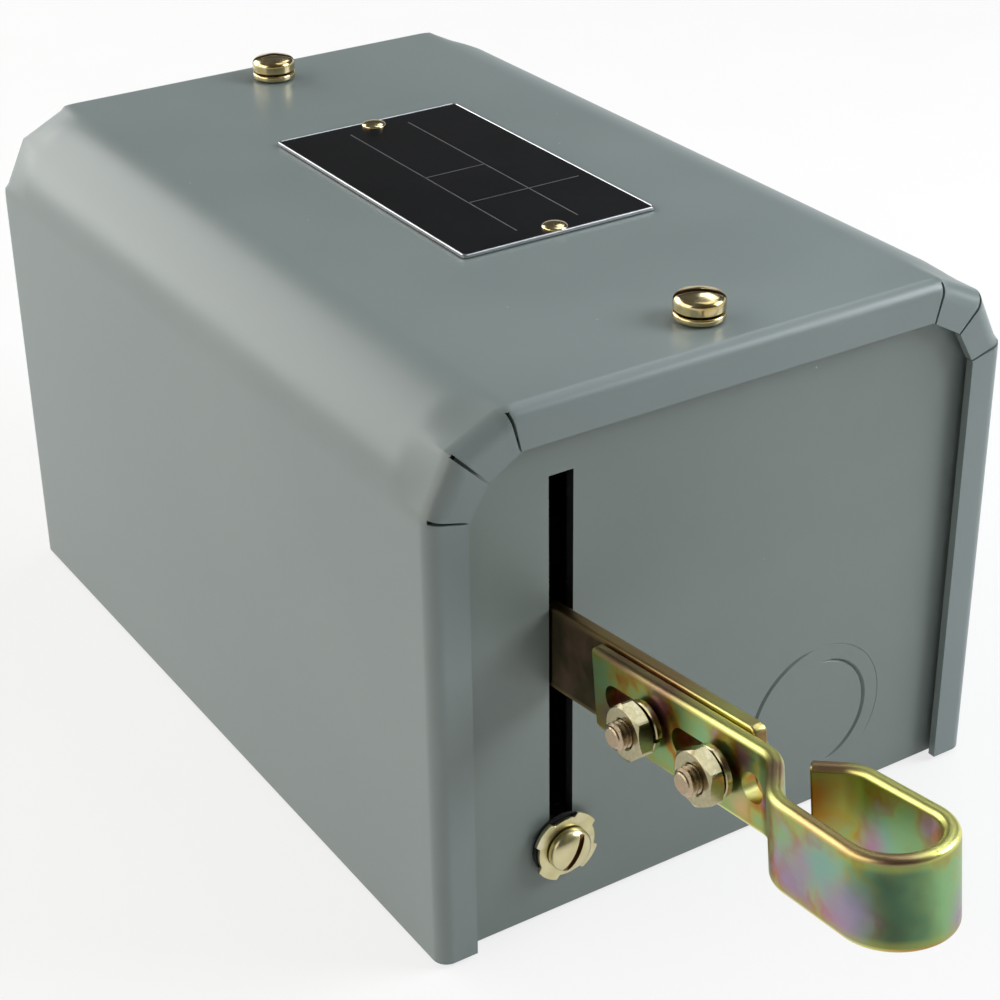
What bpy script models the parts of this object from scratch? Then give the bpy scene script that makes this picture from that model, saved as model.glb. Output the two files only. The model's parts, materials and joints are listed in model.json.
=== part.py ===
"""Lever-operated float switch in a sheet-steel enclosure.

The base lies on Z = 0 with its centre at the origin. The lever comes out of the end plate at -Y.
Sizes are in millimetres and are turned into metres where a mesh is made.
"""

import math

import bmesh
import bpy
from mathutils import Vector
from mathutils.geometry import tessellate_polygon

MM = 0.001

# Clearances
GAP = 0.3
RUNNING_GAP = 0.2
NAMEPLATE_GAP = 0.2
COVER_CLEARANCE = 0.7
PLATE_CLEARANCE = 1.2

# How far a cutter runs past what it cuts
PAST = 1.0

# Enclosure cover
COVER_WIDTH = 115.0
COVER_LENGTH = 167.4
COVER_HEIGHT = 99.0
COVER_CORNER_RADIUS = 17.0
COVER_SHEET = 1.5
COVER_FLANGE = 7.1
COVER_EDGE_RADIUS = 2.6
COVER_SKIRT_LIFT = 0.4
CORNER_STEPS = 8
EDGE_STEPS = 3
TAB_RADIUS = 8.9
SLIT_ANGLES = ((0.0, 7.5), (45.0, 45.0), (90.0, 82.5))
SLIT_WIDTH_INNER = 0.3
SLIT_WIDTH_OUTER = 0.6
SLIT_END = 0.5

# Cover screws, their washers and the nameplate
COVER_SCREW_FROM_END = 10.95
COVER_SCREW_RADIUS = 2.4
COVER_SCREW_HEAD_RADIUS = 4.3
COVER_SCREW_HEAD_HEIGHT = 3.2
COVER_SCREW_LENGTH = 9.0
COVER_SCREW_TURNS = (-36.0, -24.0)
COVER_WASHER_RADIUS = 4.35
COVER_WASHER_THICKNESS = 1.2
NAMEPLATE_WIDTH = 40.0
NAMEPLATE_LENGTH = 68.0
NAMEPLATE_THICKNESS = 0.6
NAMEPLATE_CORNER = 0.8
NAMEPLATE_X = 1.6
NAMEPLATE_Y = 2.5
RIVET_FROM_EDGE = 2.4
RIVET_RADIUS = 1.2
RIVET_HEAD_RADIUS = 2.2
RIVET_HEAD_HEIGHT = 1.2

# Base channel
BASE_SHEET = 1.9
BASE_BEND_RADIUS = 3.0
BASE_FOOT_RADIUS = 0.5
BEND_STEPS = 4
PLATE_CORNER_ARC = 84.0
TOP_TAB_LENGTH = 17.0
TOP_TAB_WIDTH = 24.0
MOUNT_HOLE_RADIUS = 2.8
MOUNT_HOLE_FROM_SIDE = 12.0
MOUNT_HOLE_FROM_END = 11.0

# Lever slot, knockout and stop screw in the front end plate
LEVER_X = -32.8
SLOT_X = -32.0
SLOT_WIDTH = 4.6
SLOT_BELOW_TOP = 14.5
STOP_HEIGHT = 14.2
STOP_SCREW_RADIUS = 2.0
STOP_HEAD_RADIUS = 4.0
STOP_HEAD_HEIGHT = 2.6
STOP_FIBRE_RADIUS = 5.9
STOP_FIBRE_THICKNESS = 0.6
STOP_WASHER_RADIUS = 6.5
STOP_WASHER_NOTCH = 0.9
STOP_WASHER_LOBE = 42.0
STOP_WASHER_TURN = 5.0
STOP_WASHER_THICKNESS = 0.8
STOP_SLOT_TURN = 60.0
STOP_PAST_NUT = 1.0
KNOCKOUT_X = 22.8
KNOCKOUT_HEIGHT = 18.8
KNOCKOUT_OUTER_RADIUS = 14.3
KNOCKOUT_INNER_RADIUS = 11.0
KNOCKOUT_GROOVE = 0.55
KNOCKOUT_DEEP = 0.6
KNOCKOUT_SHALLOW = 0.2
KNOCKOUT_OUTER_SHEARED = (100.0, 235.0)
KNOCKOUT_OUTER_MARKED = (-35.0, 94.0)
KNOCKOUT_INNER_SHEARED = (-75.0, 84.0)

# Lever, measured from its pivot
PIVOT_FROM_PLATE = 63.6
PIVOT_HEIGHT = 45.6
LEVER_TILT = 7.0
LEVER_REACH = 116.5
LEVER_TAIL = 17.0
LEVER_HEIGHT = 15.0
LEVER_THICKNESS = 2.4
LEVER_END_CORNER = 1.2
LEVER_TAIL_CORNER = 5.0
PIVOT_PIN_RADIUS = 2.5
SPACER_WALL = 1.2
SPRING_POST_REACH = 12.0
SPRING_POST_RADIUS = 1.5
POST_HEAD_RADIUS = 2.5
POST_HEAD_HEIGHT = 1.0

# Fasteners of the loop bracket
BOLT_FROM_END = 5.1
BOLT_SPACING = 17.0
BOLT_RADIUS = 2.2
BOLT_HEAD_RADIUS = 3.9
BOLT_HEAD_HEIGHT = 2.6
BOLT_PAST_NUT = 2.05
BOLT_CHAMFER = 0.5
NUT_ACROSS_FLATS = 8.4
NUT_THICKNESS = 2.6
NUT_CHAMFER_ANGLE = 28.0
LOCK_WASHER_RADIUS = 4.1
LOCK_WASHER_THICKNESS = 1.5
LOCK_WASHER_SPLIT = 14.0

# Loop bracket, a strip bent in plan
STRIP_HEIGHT = 14.1
STRIP_THICKNESS = 2.4
STRIP_BEHIND_BOLT = 14.8
STRIP_CLIPPED_CORNER = 1.4
ADJUST_TRAVEL = 9.2
ADJUST_SLOT_WIDTH = 4.7
SPARE_HOLE_FROM_BOLT = 7.3
SPARE_HOLE_RADIUS = 2.4
BEND_FROM_BOLT = 11.4
JOG_LENGTH = 8.4
JOG_SIDE = 7.1
JOG_RADIUS = 7.5
LOOP_LENGTH = 23.2
LOOP_NEAR_SIDE = 7.8
LOOP_NEAR_RADIUS = 7.6
LOOP_FAR_SIDE = 7.2
LOOP_FAR_RADIUS = 7.0
LOOP_NECK_SIDE = 6.5
LOOP_NECK_AHEAD = 1.4
LOOP_NECK_RADIUS = 6.0
LOOP_END_SIDE = 1.9
LOOP_END_BACK = 3.35
LOOP_STEPS = 7

# Brackets inside
BRACKET_SHEET = 1.6
BRACKET_SCREW_RADIUS = 1.9
BRACKET_SCREW_HEAD = 3.4
INNER_HEAD_HEIGHT = 2.2
INNER_SCREW_TURN = 25.0
LEVER_BRACKET_LEFT = -43.6
LEVER_BRACKET_RIGHT = -25.4
LEVER_BRACKET_BEHIND = 8.0
LEVER_BRACKET_AHEAD = 10.5
BRACKET_ABOVE_PIN = 8.0
LEVER_BRACKET_SCREW_Y = 4.6
ROCKER_BRACKET_DEPTH = 9.0
RING_RADIUS_EXTRA = 1.8
RING_THICKNESS = 0.9
RING_SPLIT = 60.0
PIN_END = 0.8

# Contact rocker, measured from its own pin
ROCKER_FROM_PIVOT = 24.5
ROCKER_HEIGHT = 42.6
ROCKER_PIN_RADIUS = 2.0
ROCKER_LEFT = -13.9
ROCKER_RIGHT = 34.7
ROCKER_HUB = 5.0
ROCKER_THICKNESS = 9.0
POLE_X = (-2.0, 22.0)
ROCKER_ARM_WIDTH = 9.0
ROCKER_ARM_REACH = 44.0
ROCKER_TAIL_LEFT = -12.0
ROCKER_TAIL_WIDTH = 6.0
ROCKER_TAIL_REACH = 28.0
ROCKER_POST_REACH = 24.0
CONTACT_REACH = 39.0
CONTACT_HALF_SPAN = 7.0
CONTACT_RADIUS = 2.4
CONTACT_TIP_HEIGHT = 1.3
CONTACT_OPEN_GAP = 6.6
BRIDGE_LENGTH = 20.0
BRIDGE_WIDTH = 7.0
BRIDGE_THICKNESS = 1.1
BRIDGE_RIVET_RADIUS = 1.3
BRIDGE_RIVET_HEAD = 2.4
BRIDGE_RIVET_HEAD_HEIGHT = 1.0

# Contact block and terminals
BLOCK_BEHIND_CONTACT = 5.0
BLOCK_AHEAD_OF_CONTACT = 34.0
BLOCK_FOOT_WIDTH = 7.6
BLOCK_FOOT_HEIGHT = 6.0
BLOCK_SCREW_FROM_CONTACT = 14.0
BARRIER_HEIGHT = 7.0
BARRIER_THICKNESS = 2.0
BARRIER_LENGTH = 22.0
TERMINAL_WIDTH = 8.0
TERMINAL_THICKNESS = 1.2
TERMINAL_AHEAD = 29.0
TERMINAL_BEHIND = 4.0
TERMINAL_SCREW_AHEAD = 23.0
TERMINAL_SCREW_RADIUS = 1.9
TERMINAL_SCREW_HEAD = 3.4
TERMINAL_SCREW_DEPTH = 8.0

# Toggle spring between the two spring posts
SPRING_X = -21.6
SPRING_WIRE_RADIUS = 0.4
SPRING_RADIUS = 2.75
SPRING_TURNS = 12
SPRING_PITCH = 1.7
SPRING_POINTS_PER_TURN = 9
SPRING_HOOK_POINTS = 9
SPRING_HOOK_START = 75.0
SPRING_LEAD_ANGLE = 30.0
POST_PAST_SPRING = 2.5

# Screw, bolt and rivet heads: shares of the head's own radius and height
HEAD_RIM = 0.45
HEAD_DOME = ((0.9, 0.78), (0.6, 0.96), (0, 1))
RIVET_DOME = ((0.92, 0.5), (0.6, 0.88), (0, 1))
DRIVER_SLOT = 0.28
NUT_FACE = 0.97

# Steps round a full turn
ROUND_STEPS = 24
SMALL_ROUND_STEPS = 12

# Places worked out from the sizes above
PLATE_FACE = COVER_LENGTH / 2 - COVER_SHEET - PLATE_CLEARANCE
BASE_HALF = COVER_WIDTH / 2 - COVER_SHEET - COVER_CLEARANCE
BASE_TOP = COVER_HEIGHT - COVER_SHEET - GAP
SLOT_TOP = COVER_HEIGHT - SLOT_BELOW_TOP
PIVOT_Y = PIVOT_FROM_PLATE - PLATE_FACE
ROCKER_Y = PIVOT_Y + ROCKER_FROM_PIVOT
CONTACT_Y = ROCKER_Y - CONTACT_REACH
FLOOR_TOP = BASE_SHEET + GAP
WEB_TOP = FLOOR_TOP + BRACKET_SHEET
LEVER_LEFT = LEVER_X - LEVER_THICKNESS / 2
LEVER_RIGHT = LEVER_X + LEVER_THICKNESS / 2
STRIP_MIDDLE = LEVER_LEFT - GAP - STRIP_THICKNESS / 2
STRIP_LEFT = STRIP_MIDDLE - STRIP_THICKNESS / 2
LOCK_WASHER_LEFT = STRIP_LEFT - GAP - LOCK_WASHER_THICKNESS
NUT_LEFT = LOCK_WASHER_LEFT - GAP - NUT_THICKNESS
BOLT_OUTER = LEVER_REACH - BOLT_FROM_END
BOLT_INNER = BOLT_OUTER - BOLT_SPACING
BRIDGE_TOP = ROCKER_HEIGHT - ROCKER_THICKNESS / 2 - GAP
BRIDGE_BOTTOM = BRIDGE_TOP - BRIDGE_THICKNESS
FIXED_CONTACT_TOP = BRIDGE_BOTTOM - CONTACT_TIP_HEIGHT - CONTACT_OPEN_GAP
TERMINAL_TOP = FIXED_CONTACT_TOP - CONTACT_TIP_HEIGHT
BLOCK_TOP = TERMINAL_TOP - TERMINAL_THICKNESS - GAP
TERMINAL_X = tuple(pole + side * CONTACT_HALF_SPAN for pole in POLE_X for side in (-1, 1))
BLOCK_MARGIN = TERMINAL_WIDTH / 2 + BARRIER_THICKNESS + 2 * GAP
BLOCK_LEFT = TERMINAL_X[0] - BLOCK_MARGIN
BLOCK_RIGHT = TERMINAL_X[-1] + BLOCK_MARGIN

# Finishes: colour, roughness and metallic value
ENAMEL = ((0.19, 0.22, 0.215), 0.42, 0.0)
YELLOW_ZINC = ((0.55, 0.42, 0.16), 0.3, 1.0)
PALE_ZINC = ((0.66, 0.6, 0.42), 0.3, 1.0)
PLATED_STEEL = ((0.6, 0.6, 0.58), 0.35, 1.0)
BLACK_PLATE = ((0.015, 0.015, 0.016), 0.35, 0.0)
BLACK_FIBRE = ((0.012, 0.012, 0.012), 0.7, 0.0)
PHENOLIC = ((0.03, 0.022, 0.018), 0.45, 0.0)
BRASS = ((0.7, 0.5, 0.2), 0.3, 1.0)
SPRING_STEEL = ((0.45, 0.45, 0.46), 0.3, 1.0)


def clear_scene():
    for thing in list(bpy.data.objects):
        bpy.data.objects.remove(thing, do_unlink=True)


def empty(name, location, tilt=0.0):
    """A plain point with axes that moving pieces hang on, turned about X by tilt degrees."""
    point = bpy.data.objects.new(name, None)
    point.location = Vector(location) * MM
    point.rotation_euler = (math.radians(tilt), 0.0, 0.0)
    bpy.context.collection.objects.link(point)
    return point


def finish_material(name, finish):
    colour, roughness, metallic = finish
    material = bpy.data.materials.new(name + "_finish")
    material.use_nodes = True
    shader = material.node_tree.nodes["Principled BSDF"]
    shader.inputs["Base Color"].default_value = (*colour, 1.0)
    shader.inputs["Roughness"].default_value = roughness
    shader.inputs["Metallic"].default_value = metallic
    material.diffuse_color = (*colour, 1.0)
    return material


def piece(name, bm, finish, parent=None, location=(0, 0, 0), turn=(0, 0, 0)):
    """Turn a mesh in millimetres into a named object, placed by its location and turn in degrees."""
    bmesh.ops.recalc_face_normals(bm, faces=bm.faces)
    bmesh.ops.scale(bm, vec=(MM, MM, MM), verts=bm.verts)
    mesh = bpy.data.meshes.new(name)
    bm.to_mesh(mesh)
    bm.free()
    mesh.shade_smooth()
    mesh.set_sharp_from_angle(angle=math.radians(35))
    made = bpy.data.objects.new(name, mesh)
    bpy.context.collection.objects.link(made)
    made.parent = parent
    made.location = Vector(location) * MM
    made.rotation_euler = [math.radians(angle) for angle in turn]
    if finish:
        mesh.materials.append(finish_material(name, finish))
    return made


def combine(target, bm, operation="DIFFERENCE"):
    """Cut a shape out of a piece, or join one to it. The shape shares the piece's own axes."""
    tool = piece(target.name + "_" + operation.lower(), bm, None, target.parent)
    tool.location = target.location
    tool.rotation_euler = target.rotation_euler
    tool.hide_render = True
    tool.display_type = "WIRE"
    modifier = target.modifiers.new(operation.lower(), "BOOLEAN")
    modifier.operation = operation
    modifier.solver = "EXACT"
    modifier.object = tool


def placed(axis, a, b, height):
    """The point at height along an axis, with a and b on the other two axes in X, Y, Z order."""
    return {"x": (height, a, b), "y": (a, height, b), "z": (a, b, height)}[axis]


def add_prism(bm, axis, outline, low, high, holes=()):
    """An outline with holes, drawn across an axis and extended from low to high along it."""
    loops = [list(outline)] + [list(hole) for hole in holes]
    flat = [Vector((a, b, 0.0)) for loop in loops for a, b in loop]
    ends = []
    for height in (low, high):
        ends.append([bm.verts.new(placed(axis, a, b, height)) for a, b, _ in flat])
    faces = [range(len(flat))]
    if holes:
        faces = tessellate_polygon([[Vector((a, b, 0.0)) for a, b in loop] for loop in loops])
    for end in ends:
        for face in faces:
            bm.faces.new([end[index] for index in face])
    first = 0
    for loop in loops:
        for step in range(len(loop)):
            here = first + step
            after = first + (step + 1) % len(loop)
            bm.faces.new((ends[0][here], ends[0][after], ends[1][after], ends[1][here]))
        first += len(loop)


def add_box(bm, low, high):
    outline = [(low[0], low[1]), (high[0], low[1]), (high[0], high[1]), (low[0], high[1])]
    add_prism(bm, "z", outline, low[2], high[2])


def add_turned(bm, profile, steps, centre=(0.0, 0.0)):
    """A profile of (radius, height) points turned about a line along Z. Radius 0 closes an end."""
    rings = []
    for radius, height in profile:
        if radius == 0:
            rings.append([bm.verts.new((centre[0], centre[1], height))])
            continue
        ring = []
        for step in range(steps):
            angle = math.tau * step / steps
            x = centre[0] + radius * math.cos(angle)
            y = centre[1] + radius * math.sin(angle)
            ring.append(bm.verts.new((x, y, height)))
        rings.append(ring)
    for low, high in zip(rings, rings[1:]):
        for step in range(steps):
            after = (step + 1) % steps
            corners = [low[step % len(low)], low[after % len(low)]]
            corners += [high[after % len(high)], high[step % len(high)]]
            bm.faces.new(list(dict.fromkeys(corners)))


def circle(centre, radius, steps=SMALL_ROUND_STEPS):
    points = []
    for step in range(steps):
        angle = math.tau * step / steps
        points.append((centre[0] + radius * math.cos(angle), centre[1] + radius * math.sin(angle)))
    return points


def arc(centre, radius, first, last, steps):
    points = []
    for step in range(steps + 1):
        angle = math.radians(first + (last - first) * step / steps)
        points.append((centre[0] + radius * math.cos(angle), centre[1] + radius * math.sin(angle)))
    return points


def ring_sector(centre, inner, outer, first, last, steps):
    """An arc-shaped band between two radii, from the first angle to the last in degrees."""
    return arc(centre, outer, first, last, steps) + arc(centre, inner, last, first, steps)


def stadium(low, high, radius, steps=SMALL_ROUND_STEPS // 2):
    """A slot with round ends, between two end centres that differ in one coordinate only."""
    heading = math.degrees(math.atan2(high[1] - low[1], high[0] - low[0]))
    far_end = arc(high, radius, heading - 90, heading + 90, steps)
    near_end = arc(low, radius, heading + 90, heading + 270, steps)
    return far_end + near_end


def rounded(corners, steps, closed=True):
    """A line through (a, b, radius) corners, each rounded by an arc of that radius."""
    points = []
    count = len(corners)
    for index, (a, b, radius) in enumerate(corners):
        here = Vector((a, b))
        at_end = not closed and index in (0, count - 1)
        if radius == 0 or at_end:
            points.append((a, b))
            continue
        before = (Vector(corners[index - 1][:2]) - here).normalized()
        after = (Vector(corners[(index + 1) % count][:2]) - here).normalized()
        half_angle = before.angle(after) / 2
        middle = (before + after).normalized()
        centre = here + middle * (radius / math.sin(half_angle))
        start = here + before * (radius / math.tan(half_angle)) - centre
        sweep = math.pi - 2 * half_angle
        direction = 1 if before.x * after.y - before.y * after.x < 0 else -1
        for step in range(steps + 1):
            angle = direction * sweep * step / steps
            x = start.x * math.cos(angle) - start.y * math.sin(angle)
            y = start.x * math.sin(angle) + start.y * math.cos(angle)
            points.append((centre.x + x, centre.y + y))
    return points


def thickened(line, thickness):
    """The outline of a strip of even thickness that follows a line."""
    left = []
    right = []
    for index, point in enumerate(line):
        before = Vector(line[max(index - 1, 0)])
        after = Vector(line[min(index + 1, len(line) - 1)])
        along = (after - before).normalized()
        side = Vector((-along.y, along.x)) * thickness / 2
        left.append((point[0] + side.x, point[1] + side.y))
        right.append((point[0] - side.x, point[1] - side.y))
    return left + right[::-1]


def slotted_screw(name, sizes, finish, steps, slot_turn=0.0, **place):
    """A round-headed screw. Its head stands on Z = 0 and its shank points down."""
    head_radius, head_height, shank_radius, shank_length = sizes
    rim = head_height * HEAD_RIM
    bm = bmesh.new()
    profile = [(0, -shank_length), (shank_radius, -shank_length), (shank_radius, 0), (head_radius, 0)]
    profile += [(head_radius, rim)]
    profile += [(head_radius * radius, head_height * height) for radius, height in HEAD_DOME]
    add_turned(bm, profile, steps)
    made = piece(name, bm, finish, **place)
    cutter = bmesh.new()
    half_slot = head_radius * DRIVER_SLOT / 2
    reach = head_radius + PAST
    turn = math.radians(slot_turn)
    outline = []
    for along_side, across_side in ((-1, -1), (1, -1), (1, 1), (-1, 1)):
        along = along_side * reach
        across = across_side * half_slot
        x = along * math.cos(turn) - across * math.sin(turn)
        y = along * math.sin(turn) + across * math.cos(turn)
        outline.append((x, y))
    add_prism(cutter, "z", outline, rim, head_height + PAST)
    combine(made, cutter)
    return made


def ring_washer(name, outer, inner, thickness, finish, steps, **place):
    """A flat ring that stands on Z = 0."""
    bm = bmesh.new()
    add_prism(bm, "z", circle((0, 0), outer, steps), 0, thickness, [circle((0, 0), inner, steps)])
    return piece(name, bm, finish, **place)


def split_ring(name, outer, inner, thickness, split, finish, **place):
    """A ring with a gap of split degrees, which stands on Z = 0."""
    bm = bmesh.new()
    outline = ring_sector((0, 0), inner, outer, split / 2, 360 - split / 2, ROUND_STEPS)
    add_prism(bm, "z", outline, 0, thickness)
    return piece(name, bm, finish, **place)


def hex_nut(name, across_flats, thickness, bore, finish, **place):
    """A nut that stands on Z = 0, with its upper corners turned off to a cone."""
    steps = ROUND_STEPS
    face_radius = across_flats / 2 * NUT_FACE
    slope = math.tan(math.radians(NUT_CHAMFER_ANGLE))
    bm = bmesh.new()
    rings = [[], [], [], [], []]
    for step in range(steps):
        angle = math.tau * step / steps
        flat_angle = (angle % (math.pi / 3)) - math.pi / 6
        corner = across_flats / 2 / math.cos(flat_angle)
        edge = thickness - (corner - face_radius) * slope
        for ring, radius, height in zip(
            rings,
            (bore, corner, corner, face_radius, bore),
            (0, 0, edge, thickness, thickness),
        ):
            ring.append(bm.verts.new((radius * math.cos(angle), radius * math.sin(angle), height)))
    for index in range(len(rings)):
        low = rings[index]
        high = rings[(index + 1) % len(rings)]
        for step in range(steps):
            after = (step + 1) % steps
            bm.faces.new((low[step], low[after], high[after], high[step]))
    return piece(name, bm, finish, **place)


def round_pin(name, radius, low, high, finish, steps=SMALL_ROUND_STEPS, **place):
    """A plain pin along its own Z axis, from low to high."""
    bm = bmesh.new()
    add_turned(bm, [(0, low), (radius, low), (radius, high), (0, high)], steps)
    return piece(name, bm, finish, **place)


def tab_radius(step):
    """How far a corner tab's straight inner edge lies from the corner's centre."""
    span = math.radians(45)
    angle = math.radians(90 * step / CORNER_STEPS) % span
    if step in (0, CORNER_STEPS):
        return COVER_CORNER_RADIUS - COVER_FLANGE
    if step == CORNER_STEPS / 2:
        return TAB_RADIUS
    end = COVER_CORNER_RADIUS - COVER_FLANGE
    first, last = (end, TAB_RADIUS) if step < CORNER_STEPS / 2 else (TAB_RADIUS, end)
    return first * last * math.sin(span) / (first * math.sin(angle) + last * math.sin(span - angle))


def cover_stations():
    """Points round the cover's arch, each with its inward direction and the flange's depth there."""
    half = COVER_WIDTH / 2
    shoulder = COVER_HEIGHT - COVER_CORNER_RADIUS
    stations = [((-half, COVER_SKIRT_LIFT), (1, 0), COVER_FLANGE)]
    for side, first in ((-1, 180), (1, 90)):
        centre_x = side * (half - COVER_CORNER_RADIUS)
        for step in range(CORNER_STEPS + 1):
            angle = math.radians(first - 90 * step / CORNER_STEPS)
            out = (math.cos(angle), math.sin(angle))
            point = (centre_x + COVER_CORNER_RADIUS * out[0], shoulder + COVER_CORNER_RADIUS * out[1])
            stations.append((point, (-out[0], -out[1]), COVER_CORNER_RADIUS - tab_radius(step)))
    stations.append(((half, COVER_SKIRT_LIFT), (-1, 0), COVER_FLANGE))
    return stations


def cover_section(depth):
    """The sheet's section along the cover: (inward, along) points, with both ends turned in."""
    half = COVER_LENGTH / 2

    def turned_end(radius, face):
        points = [(depth, face)]
        for step in range(EDGE_STEPS + 1):
            angle = math.radians(90 * step / EDGE_STEPS)
            inward = COVER_EDGE_RADIUS - radius * math.sin(angle)
            points.append((inward, -half + COVER_EDGE_RADIUS - radius * math.cos(angle)))
        return points

    outer = turned_end(COVER_EDGE_RADIUS, -half)
    inner = turned_end(COVER_EDGE_RADIUS - COVER_SHEET, -half + COVER_SHEET)
    loop = outer + [(inward, -along) for inward, along in outer[::-1]]
    return loop + [(inward, -along) for inward, along in inner] + inner[::-1]


def cover_screw_places():
    reach = COVER_LENGTH / 2 - COVER_SCREW_FROM_END
    return (("front", -reach), ("rear", reach))


def rivet_places():
    reach = NAMEPLATE_LENGTH / 2 - RIVET_FROM_EDGE
    return (("front", NAMEPLATE_Y - reach), ("rear", NAMEPLATE_Y + reach))


def add_corner_slits(bm):
    """Slits that part the corner tabs at both ends of the cover, each wider where the tabs fold."""
    shoulder = COVER_HEIGHT - COVER_CORNER_RADIUS
    through = COVER_EDGE_RADIUS + PAST
    for side in (-1, 1):
        centre = Vector((side * (COVER_WIDTH / 2 - COVER_CORNER_RADIUS), shoulder))
        for angles in SLIT_ANGLES:
            ends = []
            for angle, reach in zip(angles, (TAB_RADIUS - PAST, COVER_CORNER_RADIUS - SLIT_END)):
                out = Vector((side * math.cos(math.radians(angle)), math.sin(math.radians(angle))))
                ends.append(centre + out * reach)
            inner, outer = ends
            along = (outer - inner).normalized()
            across = Vector((-along.y, along.x))
            outline = []
            for point, half in ((inner, -SLIT_WIDTH_INNER / 2), (outer, -SLIT_WIDTH_OUTER / 2),
                                (outer, SLIT_WIDTH_OUTER / 2), (inner, SLIT_WIDTH_INNER / 2)):
                outline.append(tuple(point + across * half))
            for end in (-1, 1):
                face = end * COVER_LENGTH / 2
                low, high = sorted((face + end * PAST, face - end * through))
                add_prism(bm, "y", outline, low, high)


def make_cover(lift):
    bm = bmesh.new()
    rings = []
    for point, inward, depth in cover_stations():
        ring = []
        for inset, along in cover_section(depth):
            x = point[0] + inward[0] * inset
            z = point[1] + inward[1] * inset
            ring.append(bm.verts.new((x, along, z)))
        rings.append(ring)
    for here, after in zip(rings, rings[1:]):
        for index in range(len(here)):
            before = index - 1
            bm.faces.new((here[before], here[index], after[index], after[before]))
    bm.faces.new(rings[0])
    bm.faces.new(rings[-1])
    cover = piece("cover", bm, ENAMEL, lift)
    cutter = bmesh.new()
    add_corner_slits(cutter)
    low = COVER_HEIGHT - COVER_SHEET - PAST
    for _, y in cover_screw_places():
        hole = circle((0, y), COVER_SCREW_RADIUS + GAP)
        add_prism(cutter, "z", hole, low, COVER_HEIGHT + PAST)
    for _, y in rivet_places():
        hole = circle((NAMEPLATE_X, y), RIVET_RADIUS + GAP)
        add_prism(cutter, "z", hole, low, COVER_HEIGHT + PAST)
    combine(cover, cutter)


def make_cover_trim(lift):
    """The nameplate with its rivets, and the cover screws with the washers under their heads."""
    half_width = NAMEPLATE_WIDTH / 2
    half_length = NAMEPLATE_LENGTH / 2
    plate_low = COVER_HEIGHT + NAMEPLATE_GAP
    plate_top = plate_low + NAMEPLATE_THICKNESS
    corners = []
    for x, y in ((-1, -1), (1, -1), (1, 1), (-1, 1)):
        corners.append((NAMEPLATE_X + x * half_width, NAMEPLATE_Y + y * half_length, NAMEPLATE_CORNER))
    holes = [circle((NAMEPLATE_X, y), RIVET_RADIUS + GAP) for _, y in rivet_places()]
    bm = bmesh.new()
    add_prism(bm, "z", rounded(corners, 3), plate_low, plate_top, holes)
    piece("nameplate", bm, BLACK_PLATE, lift)
    for end, y in rivet_places():
        bm = bmesh.new()
        shank = plate_top + GAP - (COVER_HEIGHT - COVER_SHEET)
        profile = [(0, -shank), (RIVET_RADIUS, -shank), (RIVET_RADIUS, 0), (RIVET_HEAD_RADIUS, 0)]
        for radius, height in RIVET_DOME:
            profile.append((RIVET_HEAD_RADIUS * radius, RIVET_HEAD_HEIGHT * height))
        add_turned(bm, profile, SMALL_ROUND_STEPS)
        piece("nameplate_rivet_" + end, bm, YELLOW_ZINC, lift, (NAMEPLATE_X, y, plate_top + GAP))
    washer_low = COVER_HEIGHT + GAP
    head_low = washer_low + COVER_WASHER_THICKNESS + GAP
    sizes = (COVER_SCREW_HEAD_RADIUS, COVER_SCREW_HEAD_HEIGHT, COVER_SCREW_RADIUS, COVER_SCREW_LENGTH)
    for (end, y), slot_turn in zip(cover_screw_places(), COVER_SCREW_TURNS):
        ring_washer("cover_washer_" + end, COVER_WASHER_RADIUS, COVER_SCREW_RADIUS + GAP,
                    COVER_WASHER_THICKNESS, YELLOW_ZINC, ROUND_STEPS,
                    parent=lift, location=(0, y, washer_low))
        slotted_screw("cover_screw_" + end, sizes, YELLOW_ZINC, ROUND_STEPS, slot_turn,
                      parent=lift, location=(0, y, head_low))


def bracket_screw_places():
    """Where the two inner brackets are screwed to the base."""
    lever_x = (LEVER_BRACKET_LEFT + LEVER_BRACKET_RIGHT) / 2
    places = [(lever_x, PIVOT_Y + side * LEVER_BRACKET_SCREW_Y) for side in (-1, 1)]
    return places + [(pole, ROCKER_Y) for pole in POLE_X]


def block_screw_places():
    y = CONTACT_Y - BLOCK_SCREW_FROM_CONTACT
    left = BLOCK_LEFT - BLOCK_FOOT_WIDTH / 2
    right = BLOCK_RIGHT + BLOCK_FOOT_WIDTH / 2
    return (("left", left, y), ("right", right, y))


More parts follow.
